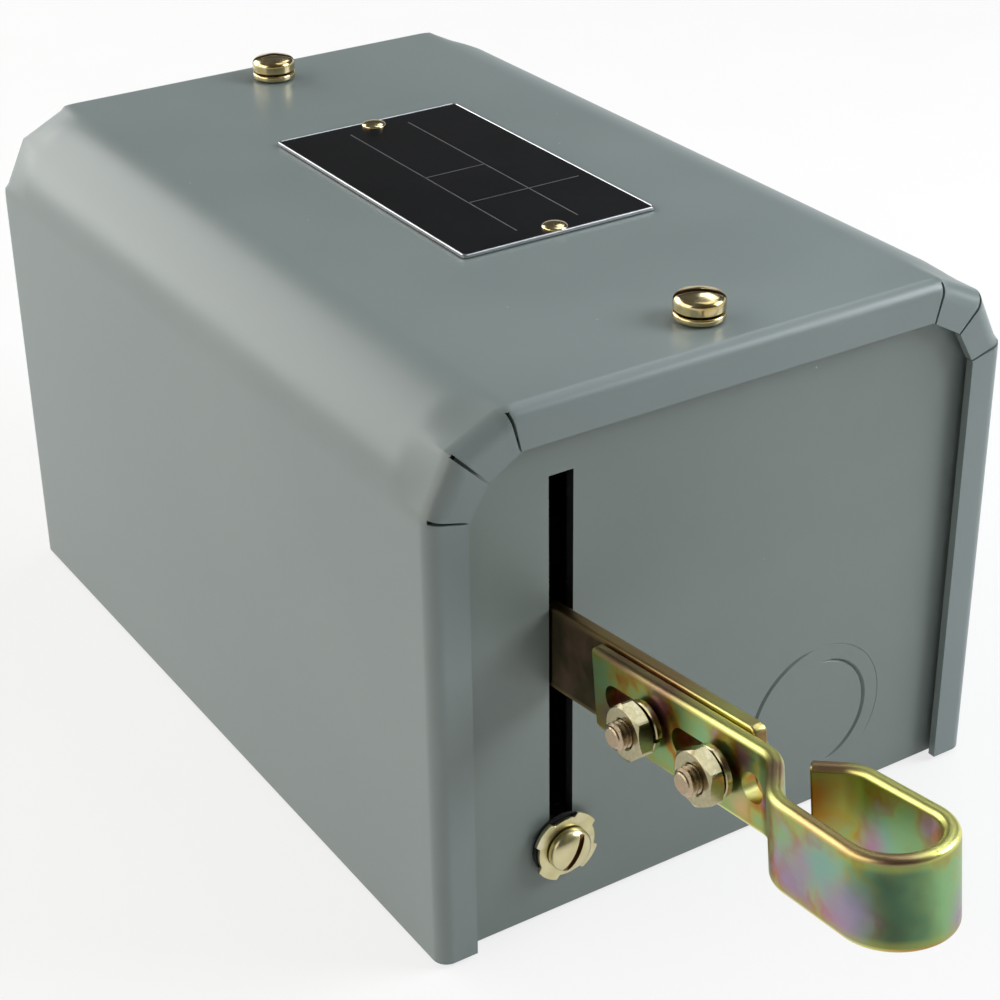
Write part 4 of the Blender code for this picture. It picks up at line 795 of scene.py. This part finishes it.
def cover_stations():
    """(point, inward, flange depth, facet drop, fold radius) round the cover's arch."""
    half = COVER_HIGH.x
    stations = [((-half, COVER_LOW.z), (1, 0), FLANGE, 0.0, EDGE_RADIUS)]
    for side in (-1, 1):
        centre = Vector((side * (half - CORNER_RADIUS), COVER_SHOULDER))
        for step in range(CORNER_STEPS + 1):
            angle = 90 * step / CORNER_STEPS
            if side == 1:
                angle = 90 - angle
            out = outward(side, angle)
            depth = CORNER_RADIUS - tab_radius(min(angle, 90 - angle) / 45)
            on_tab = FACET_ANGLES[0] < angle < FACET_ANGLES[-1]
            fold = TAB_EDGE_RADIUS if on_tab else EDGE_RADIUS
            stations.append((centre + out * CORNER_RADIUS, -out, depth, facet_drop(angle), fold))
    stations.append(((half, COVER_LOW.z), (-1, 0), FLANGE, 0.0, EDGE_RADIUS))
    return stations


def cover_section(depth, drop, fold):
    """(inward, along) points of the sheet's section, turned in at both ends, with folds pulled straight."""
    half = COVER_HIGH.y

    def end_points(inset):
        radius = fold - inset
        points = [(depth, -half + inset)]
        for step in range(EDGE_STEPS + 1):
            angle = math.radians(90 * step / EDGE_STEPS)
            points.append((drop + fold - radius * math.sin(angle), -half + fold - radius * math.cos(angle)))
        for share in FACET_SHARES:
            ease = (1 - share) ** 2 * (1 + 2 * share)
            points.append((inset + drop * ease, -half + fold + share * (FACET_REACH - fold)))
        return points

    outer = end_points(0.0)
    inner = end_points(SHEET)
    loop = outer + [(inward, -along) for inward, along in outer[::-1]]
    return loop + [(inward, -along) for inward, along in inner] + inner[::-1]


def cover_cutter():
    """The slits between the corner tabs, which lean as they were sheared, and the holes in the top."""
    bm = bmesh.new()
    reaches = (TAB_RADIUS - PAST, CORNER_RADIUS - SLIT_END)
    for side in (-1, 1):
        centre = Vector((side * (COVER_HIGH.x - CORNER_RADIUS), COVER_SHOULDER))
        for angles in SLIT_ANGLES:
            ends = []
            for reach, angle in zip(reaches, angles):
                ends.append(centre + outward(side, angle) * reach)
            along = (ends[1] - ends[0]).normalized()
            across = Vector((-along.y, along.x)) / 2
            outline = [ends[0] - across * SLIT_WIDTH_INNER, ends[1] - across * SLIT_WIDTH_OUTER,
                       ends[1] + across * SLIT_WIDTH_OUTER, ends[0] + across * SLIT_WIDTH_INNER]
            for end in (-1, 1):
                face = end * COVER_HIGH.y
                low, high = sorted((face + end * PAST, face - end * (TAB_EDGE_RADIUS + PAST)))
                add_prism(bm, "y", outline, low, high)
    for screw in ("cover_screw_front", "cover_screw_rear", "nameplate_rivet_front", "nameplate_rivet_rear"):
        radius = COVER_SHANK if "screw" in screw else RIVET_SHANK
        add_hole(bm, screw, radius + GAP, COVER_HIGH.z - SHEET - PAST, COVER_HIGH.z + PAST)
    return bm


def make_cover():
    rings = []
    for point, inward, depth, drop, fold in cover_stations():
        ring = []
        for inset, along in cover_section(depth, drop, fold):
            ring.append((point[0] + inward[0] * inset, along, point[1] + inward[1] * inset))
        rings.append(ring)
    bm = cut(loft(rings), cover_cutter(), SHEET_EDGE)
    finish_piece("cover_shell", bm, [COVER_ENAMEL], "cover", ["cover"])


# Base channel


def add_groove(bm, face, radius, first, last, depth):
    """A V groove round the knockout that fades out at both ends, as a half-sheared disc leaves it."""
    slope = math.tan(math.radians(GROOVE_HALF_ANGLE))
    rings = []
    for step in range(GROOVE_STEPS + 1):
        share = step / GROOVE_STEPS
        fade = min(share, 1 - share, GROOVE_FADE) / GROOVE_FADE
        bottom = depth * fade * (2 - fade) - GROOVE_RUN_OUT
        angle = math.radians(first + (last - first) * share)
        ring = []
        for side, level in ((-1, -PAST), (0, bottom), (1, -PAST)):
            reach = radius + side * (bottom + PAST) * slope
            x = KNOCKOUT[0] + reach * math.cos(angle)
            z = KNOCKOUT[1] + reach * math.sin(angle)
            ring.append((x, face + level, z))
        rings.append(ring)
    add_loft(bm, rings)


def base_cutter(low, high):
    """Everything that is pierced or pressed into the base."""
    bm = bmesh.new()
    stop = middle_mm("stop_screw")
    slot = arc((stop.x, stop.z), SLOT_WIDTH / 2, 180, 360, LOBE_STEPS)
    slot_top = COVER_HIGH.z - SLOT_BELOW_TOP
    slot += [(stop.x + SLOT_WIDTH / 2, slot_top), (stop.x - SLOT_WIDTH / 2, slot_top)]
    add_prism(bm, "y", slot, low.y - PAST, low.y + BASE_SHEET + PAST)
    for groove in KNOCKOUT_GROOVES:
        add_groove(bm, low.y, *groove)
    for x_side in (-1, 1):
        for y_side in (-1, 1):
            place = (x_side * (high.x - MOUNT_HOLE_FROM_SIDE), y_side * (high.y - MOUNT_HOLE_FROM_END))
            add_prism(bm, "z", circle(place, MOUNT_HOLE), -PAST, BASE_SHEET + PAST)
            sides = sorted((x_side * TOP_TAB_WIDTH / 2, x_side * (high.x + PAST)))
            ends = sorted((y_side * (high.y - BASE_BEND), 0))
            add_prism(bm, "z", rectangle(*sides, *ends), high.z - BASE_SHEET - PAST, high.z + PAST)
    for end in ("front", "rear"):
        add_hole(bm, "cover_screw_" + end, COVER_SHANK + GAP, high.z - BASE_SHEET - PAST, high.z + PAST)
    for screw in INSIDE_SCREWS:
        add_hole(bm, screw, INSIDE_SCREW_HOLE, -PAST, BASE_SHEET + PAST)
    return bm


def make_base():
    low, high = box_mm("base_channel")
    face = high.y
    top = high.z
    sheet = BASE_SHEET
    tab_end = face - TOP_TAB_LENGTH
    half = [(-tab_end, top, 0), (-face, top, BASE_BEND), (-face, 0, BASE_FOOT)]
    half_inside = [(-face + sheet, sheet, 0), (-face + sheet, top - sheet, BASE_BEND - sheet)]
    half_inside += [(-tab_end, top - sheet, 0)]
    corners = half + [(-y, z, radius) for y, z, radius in half[::-1]]
    corners += [(-y, z, radius) for y, z, radius in half_inside[::-1]] + half_inside
    bm = prism("x", rounded_line(corners, EDGE_STEPS, closed=True), low.x, high.x)
    right = [(high.x + PAST, -PAST), (high.x + PAST, COVER_SHOULDER)]
    right += arc((high.x - BASE_CORNER, COVER_SHOULDER), BASE_CORNER, 0, BASE_CORNER_ARC, CORNER_STEPS)
    right += [(right[-1][0], top + PAST)]
    arch = prism("y", right + [(-x, z) for x, z in right[::-1]], low.y - PAST, high.y + PAST)
    bm = cut(bm, arch, operation="INTERSECT")
    bm = cut(bm, base_cutter(low, high), BASE_EDGE)
    # The walls of the lever's slot take the second material, a near-black painted shade
    slot = middle_mm("stop_screw")
    for face in bm.faces:
        middle = face.calc_center_median()
        beside = abs(middle.x - slot.x) < SLOT_WIDTH / 2 + PAST and middle.z > slot.z - SLOT_WIDTH
        if beside and low.y < middle.y < low.y + sheet and abs(face.normal.y) < SLOT_WALL_LEAN:
            face.material_index = 1
    finish_piece("base_sheet", bm, [BASE_ENAMEL_SHADED, SLOT_WALL_PAINTED_SHADE], "chassis", ["base_channel"])


# Nameplate, rivets and cover screws


def make_nameplate():
    low, high = box_mm("nameplate")
    top = low.z + NAMEPLATE_THICKNESS
    rim = NAMEPLATE_RIM
    edge = NAMEPLATE_EDGE
    rings = []
    for inset, height in ((0.0, low.z), (0.0, top - edge), (edge, top), (rim, top), (rim + edge, top - edge)):
        outline = rounded_rectangle(low.x + inset, high.x - inset, low.y + inset, high.y - inset,
                                    NAMEPLATE_CORNER)
        rings.append([(x, y, height) for x, y in outline])
    bm = loft(rings)
    field_low = top - edge
    width = high.x - low.x
    length = high.y - low.y
    half = NAMEPLATE_RULE / 2
    for left, front, right, rear in NAMEPLATE_RULES:
        rule = rectangle(low.x + left * width - half, low.x + right * width + half,
                         low.y + front * length - half, low.y + rear * length + half)
        add_prism(bm, "z", rule, field_low - edge, field_low + NAMEPLATE_RULE_RISE)
    plate = finish_piece("nameplate_sheet", bm, [BARE_ALUMINIUM, NAMEPLATE_BLACK], "cover", ["nameplate"])
    upper = [face for face in plate.data.polygons if face.normal.z > FACING_UP]
    field = max(upper, key=lambda face: face.area)
    field.material_index = 1


def make_rivets():
    seat = box_mm("nameplate")[0].z + NAMEPLATE_THICKNESS - NAMEPLATE_EDGE
    for end in ("front", "rear"):
        node = "nameplate_rivet_" + end
        foot = box_mm(node)[0].z - seat
        profile = [(0, foot), (RIVET_SHANK, foot), (RIVET_SHANK, 0), (RIVET_RADIUS, 0)]
        profile += dome(RIVET_RADIUS, RIVET_RIM, RIVET_HEIGHT)
        finish_piece(node + "_head", turned(profile), [GOLD_ZINC], "cover", [node],
                     over(node, seat))


def slotted_head(profile, slot_width, slot_low, top, turn):
    """A turned screw with a driver slot across its head, whose walls take the second finish, a painted shade.
    """
    reach = max(radius for radius, _ in profile) + PAST
    along = outward(1, turn)
    across = Vector((-along.y, along.x)) * slot_width / 2
    outline = [tuple(-along * reach - across), tuple(along * reach - across),
               tuple(along * reach + across), tuple(-along * reach + across)]
    cutter = prism("z", outline, slot_low, top + PAST)
    bm = cut(turned(profile), cutter, SLOT_EDGE)
    for face in bm.faces:
        middle = face.calc_center_median()
        off = abs(Vector((-along.y, along.x)).dot(middle.xy))
        if off < slot_width / 2 + SLOT_EDGE / 4 and middle.z > slot_low - SLOT_EDGE:
            face.material_index = 1
    return bm


def make_cover_screws():
    for end in ("front", "rear"):
        node = "cover_screw_" + end
        low, high = box_mm(node)
        seat = high.z - COVER_HEAD_HEIGHT
        radius = COVER_HEAD_RADIUS
        edge = COVER_HEAD_EDGE
        profile = [(0, low.z - seat), (COVER_SHANK, low.z - seat), (COVER_SHANK, 0)]
        profile += [(radius - COVER_HEAD_UNDERCUT, 0), (radius, COVER_HEAD_UNDERCUT)]
        profile += arc((radius - edge, COVER_HEAD_SIDE), edge, 0, COVER_HEAD_EDGE_ARC, SMALL_STEPS)
        shoulder, rise = profile[-1]
        for share in COVER_HEAD_CROWN:
            profile.append((shoulder * share, rise + (COVER_HEAD_HEIGHT - rise) * (1 - share * share)))
        profile.append((0, COVER_HEAD_HEIGHT))
        bm = slotted_head(profile, COVER_SLOT, COVER_HEAD_HEIGHT - COVER_SLOT_DEPTH, COVER_HEAD_HEIGHT,
                          COVER_SCREW_TURNS[end])
        finish_piece(node + "_head", bm, [GOLD_ZINC, DRIVER_SLOT_PAINTED_SHADE], "cover", [node],
                     over(node, seat))
        washer = "cover_washer_" + end
        seat = box_mm(washer)[0].z
        inner = COVER_SHANK + GAP
        outer = COVER_WASHER_RADIUS
        thick = COVER_WASHER_THICKNESS
        edge = COVER_WASHER_EDGE
        profile = [(inner, 0)] + arc((outer - edge, edge), edge, -90, 0, RIM_STEPS)
        profile += arc((outer - edge, thick - edge), edge, 0, 90, RIM_STEPS) + [(inner, thick)]
        finish_piece(washer + "_ring", turned(profile), [GOLD_ZINC], "cover", [washer],
                     over(node, seat))


# Stop screw and its washer


def make_stop():
    screw_low, screw_high = box_mm("stop_screw")
    place = middle_mm("stop_screw")
    seat = screw_low.y + STOP_HEAD_HEIGHT
    length = screw_high.y - seat
    radius = STOP_HEAD_RADIUS
    profile = [(0, -length), (STOP_SHANK, -length), (STOP_SHANK, 0), (radius, 0)]
    profile += dome(radius, STOP_HEAD_RIM, STOP_HEAD_HEIGHT)
    slot_low = STOP_HEAD_HEIGHT - STOP_SLOT_DEPTH
    bm = slotted_head(profile, STOP_SLOT, slot_low, STOP_HEAD_HEIGHT, STOP_SLOT_TURN)
    axes = facing((0, -1, 0), (place.x, seat, place.z))
    finish_piece("stop_screw_head", bm, [PALE_ZINC, DRIVER_SLOT_PAINTED_SHADE], "chassis", ["stop_screw"], axes)
    washer_seat = box_mm("stop_washer")[1].y
    outline = []
    pitch = 360 / STOP_LOBES
    for lobe in range(STOP_LOBES):
        middle = pitch * (lobe + 0.5) + STOP_TURN
        first = middle - STOP_LOBE / 2
        last = middle + STOP_LOBE / 2
        outline += arc((0, 0), STOP_LOBE_RADIUS, first, last, LOBE_STEPS)
        outline += arc((0, 0), STOP_NOTCH_RADIUS, last + STOP_NOTCH_SLOPE, first + pitch - STOP_NOTCH_SLOPE,
                       SMALL_STEPS)
    bm = prism("z", outline, 0, STOP_WASHER_THICKNESS)
    hole = prism("z", circle((0, 0), STOP_SHANK + GAP), -PAST, STOP_WASHER_THICKNESS + PAST)
    bm = cut(bm, hole, STOP_WASHER_EDGE)
    axes = facing((0, -1, 0), (place.x, washer_seat, place.z))
    finish_piece("stop_lobed_washer", bm, [PALE_ZINC], "chassis", ["stop_washer"], axes)


# Lever bar, loop bracket and their fasteners


def lever_x(node, side):
    """The lowest (0) or highest (1) X of a lever piece."""
    return box_mm(node)[side].x


def make_lever_bar():
    half = LEVER_HEIGHT / 2
    corners = [(-LEVER_REACH, -half, LEVER_END_CORNER), (LEVER_TAIL, -half, LEVER_TAIL_CORNER)]
    corners += [(LEVER_TAIL, half, LEVER_TAIL_CORNER), (-LEVER_REACH, half, LEVER_END_CORNER)]
    left = lever_x("lever_bar", 0)
    right = lever_x("lever_bar", 1)
    bm = prism("x", rounded_line(corners, SMALL_STEPS, closed=True), left, right)
    cutter = bmesh.new()
    for reach, radius in ((0, PIVOT_HOLE), (SPRING_POST_REACH, SPRING_POST_HOLE), (-BOLT_INNER, BOLT_HOLE),
                          (-BOLT_OUTER, BOLT_HOLE)):
        add_prism(cutter, "x", circle((reach, 0), radius), left - PAST, right + PAST)
    bm = cut(bm, cutter, LEVER_ROUND, RIM_STEPS)
    finish_piece("lever_bar_strip", bm, [BAR_CHROMATE_PAINTED_SHADE], "lever", ["lever_bar"], LEVER_AXES)


def loop_line():
    """The strip's middle line in plan: (sideways, away from the pivot) points."""
    start = BOLT_INNER - STRIP_BEHIND_BOLT
    bend = BOLT_OUTER + BEND_FROM_BOLT
    neck = bend + JOG_LENGTH
    tip = neck + LOOP_LENGTH
    corners = [(0, start, 0), (0, bend, JOG_RADIUS), (-JOG_SIDE, neck, JOG_RADIUS)]
    corners += [(-LOOP_NEAR_SIDE, tip, LOOP_NEAR_RADIUS), (LOOP_FAR_SIDE, tip, LOOP_FAR_RADIUS)]
    corners += [(LOOP_NECK_SIDE, neck + LOOP_NECK_AHEAD, LOOP_NECK_RADIUS)]
    corners += [(LOOP_END_SIDE, neck - LOOP_END_BACK, 0)]
    return rounded_line(corners, LOOP_STEPS)


def strip_ring(point, ahead, inset):
    """The strip's rounded section at a point of its middle line, drawn in by an inset."""
    half_height = STRIP_HEIGHT / 2 - inset
    half_thick = STRIP_THICKNESS / 2 - inset
    side = Vector((-ahead.y, ahead.x))
    radius = STRIP_ROUND - inset
    section = rounded_rectangle(-half_thick, half_thick, -half_height, half_height, radius)
    return [(point.x + side.x * across, point.y + side.y * across, up) for across, up in section]


def make_loop_bracket():
    line = [Vector((STRIP_MIDDLE + side, -away)) for side, away in loop_line()]
    first = (line[1] - line[0]).normalized()
    last = (line[-1] - line[-2]).normalized()
    stations = [(line[0], first, STRIP_END_ROUND), (line[0] + first * STRIP_END_ROUND, first, 0.0)]
    for before, point, after in zip(line, line[1:], line[2:]):
        stations.append((point, (after - before).normalized(), 0.0))
    stations += [(line[-1] - last * STRIP_END_ROUND, last, 0.0), (line[-1], last, STRIP_END_ROUND)]
    bm = loft([strip_ring(*station) for station in stations])
    left = STRIP_MIDDLE - STRIP_THICKNESS / 2 - PAST
    right = STRIP_MIDDLE + STRIP_THICKNESS / 2 + PAST
    cutter = bmesh.new()
    for reach in (BOLT_INNER, BOLT_OUTER):
        slot = arc((-reach + ADJUST_TRAVEL, 0), ADJUST_SLOT_WIDTH / 2, -90, 90, SLOT_STEPS)
        slot += arc((-reach, 0), ADJUST_SLOT_WIDTH / 2, 90, 270, SLOT_STEPS)
        add_prism(cutter, "x", slot, left, right)
    spare = (-BOLT_OUTER - SPARE_HOLE_FROM_BOLT, 0)
    add_prism(cutter, "x", circle(spare, SPARE_HOLE_RADIUS), left, right)
    half = STRIP_HEIGHT / 2
    start = -BOLT_INNER + STRIP_BEHIND_BOLT
    for up, clip in STRIP_CLIPS.items():
        corner = [(start - clip - PAST, up * (half + PAST)), (start + PAST, up * (half + PAST)),
                  (start + PAST, up * (half - clip - PAST))]
        add_prism(cutter, "x", corner, left, right)
    bm = cut(bm, cutter, PUNCH_ROUND, RIM_STEPS)
    finish_piece("loop_bracket_strip", bm, [BRACKET_CHROMATE], "loop", ["loop_bracket"],
                 LEVER_AXES)


def hex_nut(seat, turn):
    """A nut on its seat with blunted corners, both faces turned to a cone and a countersunk thread."""
    steps = 2 * ROUND_STEPS
    half = NUT_ACROSS_FLATS / 2
    face = half * NUT_FACE
    slope = math.tan(math.radians(NUT_CONE))
    blunted = half / math.cos(math.pi / 6) - NUT_BLUNT
    columns = []
    for step in range(steps):
        angle = math.tau * step / steps
        flat = (angle % (math.pi / 3)) - math.pi / 6
        corner = min(half / math.cos(flat), blunted)
        edge = (corner - face) * slope
        side = [(NUT_BORE, NUT_SINK), (NUT_BORE + NUT_SINK, 0), (face, 0), (corner, edge)]
        side += [(radius, NUT_THICKNESS - height) for radius, height in side[::-1]]
        angle += math.radians(turn)
        columns.append([(r * math.cos(angle), r * math.sin(angle), seat + height) for r, height in side])
    return loft(zip(*columns), ends_closed=True)


def thread_profile(low, high):
    """A bolt's threaded end from low to high: crests at the thread's pitch, then a plain rounded point."""
    root = BOLT_RADIUS - THREAD_DEPTH
    height = high - BOLT_POINT
    ends = [(root, height), (root - BOLT_END_ROUND / 2, high - BOLT_END_ROUND)]
    ends += [(root - 2 * BOLT_END_ROUND, high), (0, high)]
    threads = []
    while height - THREAD_PITCH > low:
        crest = height - THREAD_FLANK
        ridge = [(BOLT_RADIUS, crest - THREAD_CREST), (BOLT_RADIUS, crest)]
        threads = [(root, height - THREAD_PITCH)] + ridge + threads
        height -= THREAD_PITCH
    return [(root, low)] + threads + ends


def lock_washer(low, high, turn):
    """A split ring whose ends stand a little apart, one high and one low."""
    edge = LOCK_EDGE
    outer = LOCK_RADIUS
    thick = high - low - LOCK_RISE
    rings = []
    for step in range(ROUND_STEPS + 1):
        share = step / ROUND_STEPS
        angle = math.radians(turn + LOCK_SPLIT / 2 + (360 - LOCK_SPLIT) * share)
        base = low + LOCK_RISE * share
        top = base + thick
        section = [(BOLT_HOLE, base), (outer - edge, base), (outer, base + edge), (outer, top - edge),
                   (outer - edge, top), (BOLT_HOLE, top)]
        rings.append([(r * math.cos(angle), r * math.sin(angle), height) for r, height in section])
    return loft(rings)


def make_lever_bolts():
    for end, reach in (("inner", BOLT_INNER), ("outer", BOLT_OUTER)):
        to_left = LEVER_AXES @ facing((-1, 0, 0), (0, -reach, 0))
        bolt = "lever_bolt_" + end
        washer = "lever_lock_washer_" + end
        nut = "lever_nut_" + end
        seat = -(lever_x(bolt, 1) - BOLT_HEAD_HEIGHT)
        tip = -lever_x(bolt, 0)
        nut_seat = -lever_x(nut, 1)
        profile = [(0, seat - BOLT_HEAD_HEIGHT)]
        for radius, height in dome(BOLT_HEAD_RADIUS, BOLT_HEAD_RIM, BOLT_HEAD_HEIGHT)[-2::-1]:
            profile.append((radius, seat - height))
        profile += [(BOLT_HEAD_RADIUS, seat), (BOLT_RADIUS, seat)]
        profile += thread_profile(nut_seat, tip)
        bm = turned(profile)
        finish_piece(bolt + "_threaded", bm, [COPPERY_ZINC], "lever", [bolt], to_left)
        bm = hex_nut(nut_seat, NUT_TURNS[end])
        finish_piece(nut + "_hex", bm, [BOLT_ZINC], "lever", [nut], to_left, NUT_SMOOTH)
        bm = lock_washer(-lever_x(washer, 1), -lever_x(washer, 0), LOCK_TURNS[end])
        finish_piece(washer + "_split", bm, [BOLT_ZINC], "lever", [washer], to_left)


# Toggle spring


def spring_line():
    """The spring's middle line: a hook round each post, joined by an unbroken coil."""
    first = middle_mm("lever_spring_post")
    last = middle_mm("rocker_spring_post")
    x = middle_mm("toggle_spring").x
    first.x = x
    last.x = x
    along = (last - first).normalized()
    side = Vector((1, 0, 0))
    up = side.cross(along)
    post_low, post_high = box_mm("rocker_spring_post")
    hold = (post_high.z - post_low.z) / 2 + SPRING_WIRE + GAP
    hooks = []
    for place, heading in ((first, along), (last, -along)):
        centre = place + heading * (SPRING_RADIUS - hold)
        hook = []
        for step in range(SPRING_STEPS + 1):
            sweep = (SPRING_HOOK_END - SPRING_HOOK_START) * step / SPRING_STEPS
            angle = math.radians(SPRING_HOOK_START + sweep)
            hook.append(centre + (heading * math.cos(angle) + up * math.sin(angle)) * SPRING_RADIUS)
        hooks.append(hook)
    coil = []
    lead = SPRING_LEAD / 360
    count = SPRING_TURNS * SPRING_STEPS
    for step in range(count + 1):
        turns = lead + (SPRING_TURNS - 2 * lead) * step / count
        out = side * math.sin(math.tau * turns) - up * math.cos(math.tau * turns)
        middle = (first + last) / 2 + along * (turns - SPRING_TURNS / 2) * SPRING_PITCH
        coil.append(middle + out * SPRING_RADIUS)
    return hooks[0] + coil + hooks[1][::-1]


def wire(points):
    """A round wire along a line of points, with flat ends."""
    turn = Vector((1, 0, 0))
    rings = []
    for index, point in enumerate(points):
        ahead = (points[min(index + 1, len(points) - 1)] - points[max(index - 1, 0)]).normalized()
        turn = (turn - ahead * turn.dot(ahead)).normalized()
        across = ahead.cross(turn)
        ring = []
        for step in range(WIRE_SIDES):
            angle = math.tau * step / WIRE_SIDES
            ring.append(point + (turn * math.cos(angle) + across * math.sin(angle)) * SPRING_WIRE)
        rings.append(ring)
    return loft(rings)


def make_spring():
    """Two halves of one coil, one on the lever's side and one on the rocker's, each fixed where it stands."""
    points = spring_line()
    half = len(points) // 2
    centre = middle_mm("toggle_spring")
    for body, run in (("lever", points[:half + 1]), ("rocker", points[half:])):
        end = middle_mm(body + "_spring_post")
        end.x = centre.x
        finish_piece("toggle_spring_%s_half" % body, wire(run), [SPRING_STEEL], None, ["toggle_spring"],
                     bends=("chassis", body, centre * MM, end * MM))


# CAD nodes that stay, with their finishes


SLOT_FINISHES = {
    "cover_enamel": COVER_ENAMEL,
    "base_enamel": BASE_ENAMEL_SHADED,
    "nameplate_black": NAMEPLATE_BLACK,
    "gold_hardware": GOLD_ZINC,
    "pale_zinc": PALE_ZINC,
    "black_fibre": FIBRE_AND_PAINTED_SHADE,
    "lever_chromate": BAR_CHROMATE_PAINTED_SHADE,
    "bracket_chromate": BRACKET_CHROMATE,
    "bolt_zinc": BOLT_ZINC,
    "plated_steel": BRIGHT_ZINC,
    "spring_steel": SPRING_STEEL,
    "phenolic": PHENOLIC,
    "contact_brass": ROLLED_BRASS,
}


def finish_nodes():
    for subpart in frame["record"]["subparts"]:
        node = frame["nodes"][subpart["node"]]
        for holder in node.material_slots:
            holder.material = SLOT_FINISHES[subpart["material_slot"]]


# Stage, light and camera


def white_paper():
    """Matt white paper, shown near white to the camera and to mirrors, with the object's shadow kept."""
    material, node, place = new_surface("matt_white_paper")
    pulp = node("TexNoise", {"Vector": place, "Scale": per(40), "Detail": 4.0})
    tint = node("ValToRGB", {"Fac": pulp}, ((0.3, "#f3f3f1"), (0.7, "#f8f8f7")))
    sheet = node("BsdfPrincipled", {"Base Color": tint, "Roughness": 0.9, "Specular IOR Level": 0.1})
    seen = node("LightPath", out="Is Camera Ray")
    rays = seen.node
    for kind in ("Is Glossy Ray", "Is Transmission Ray"):
        seen = node("Math", {0: seen, 1: rays.outputs[kind]}, operation="MAXIMUM")
    share = node("Math", {0: seen, 1: PAPER_WHITE}, operation="MULTIPLY")
    white = node("Emission", {"Color": (1.0, 1.0, 1.0, 1.0), "Strength": 1.0})
    mixed = node("MixShader", {"Fac": share, 1: sheet, 2: white})
    node("OutputMaterial", {"Surface": mixed})
    return material


def make_stage():
    """A paper floor, and far round it a low rim that ends level views and takes no room light away."""
    paper = white_paper()
    mesh = bpy.data.meshes.new("floor")
    corners = rectangle(-PAPER_REACH, PAPER_REACH, -PAPER_REACH, PAPER_REACH)
    mesh.from_pydata([(x, y, 0) for x, y in corners], [], [(0, 1, 2, 3)])
    mesh.materials.append(paper)
    floor = put_in_scene("floor", mesh)
    floor.location.z = -PAPER_DROP
    rings = []
    for step in range(BACKDROP_STEPS, -1, -1):
        share = step / BACKDROP_STEPS
        radius = BACKDROP_START + (BACKDROP_REACH - BACKDROP_START) * share
        rings.append([(x, y, BACKDROP_HEIGHT * share ** 2) for x, y in circle((0, 0), radius)])
    mesh = mesh_of("backdrop", loft(rings, capped=False))
    mesh.shade_smooth()
    mesh.materials.append(paper)
    backdrop = put_in_scene("backdrop", mesh)
    backdrop.visible_diffuse = False
    backdrop.visible_shadow = False


def make_light():
    """A dim even room and five soft panels, of which those behind are caught by the bends and rims."""
    world = with_nodes(bpy.data.worlds.new("soft_room"))
    heading = add(world, "TexCoord", out="Generated")
    height = add(world, "SeparateXYZ", {"Vector": heading}, out="Z")
    tone = add(world, "ValToRGB", {"Fac": height}, ROOM_TONES)
    background = add(world, "Background", {"Color": tone, "Strength": 1.0})
    add(world, "OutputWorld", {"Surface": background})
    bpy.context.scene.world = world
    for name, place, size, watts, colour in LAMPS:
        lamp = bpy.data.lights.new(name, "AREA")
        lamp.shape = "RECTANGLE"
        lamp.size, lamp.size_y = size
        lamp.energy = watts
        lamp.color = linear(colour)[:3]
        made = put_in_scene(name, lamp)
        made.location = place
        made.rotation_euler = (Vector(LAMP_TARGET) - Vector(place)).to_track_quat("-Z", "Y").to_euler()


def make_camera():
    lens = bpy.data.cameras.new("photo_camera")
    lens.lens = CAMERA_LENS
    lens.sensor_width = SENSOR_WIDTH
    lens.sensor_fit = "HORIZONTAL"
    lens.clip_start = CAMERA_NEAR
    camera = put_in_scene("photo_camera", lens)
    turn = Matrix.Rotation(math.radians(CAMERA_HEADING), 4, "Z")
    turn = turn @ Matrix.Rotation(math.radians(90 - CAMERA_DIP), 4, "X")
    turn = turn @ Matrix.Rotation(math.radians(CAMERA_ROLL), 4, "Z")
    camera.matrix_world = Matrix.Translation(Vector(CAMERA_PLACE) * MM) @ turn
    bpy.context.scene.camera = camera


bpy.context.scene.view_settings.view_transform = "Standard"
finish_nodes()
make_cover()
make_base()
make_nameplate()
make_rivets()
make_cover_screws()
make_stop()
make_lever_bar()
make_loop_bracket()
make_lever_bolts()
make_spring()
make_stage()
make_light()
make_camera()
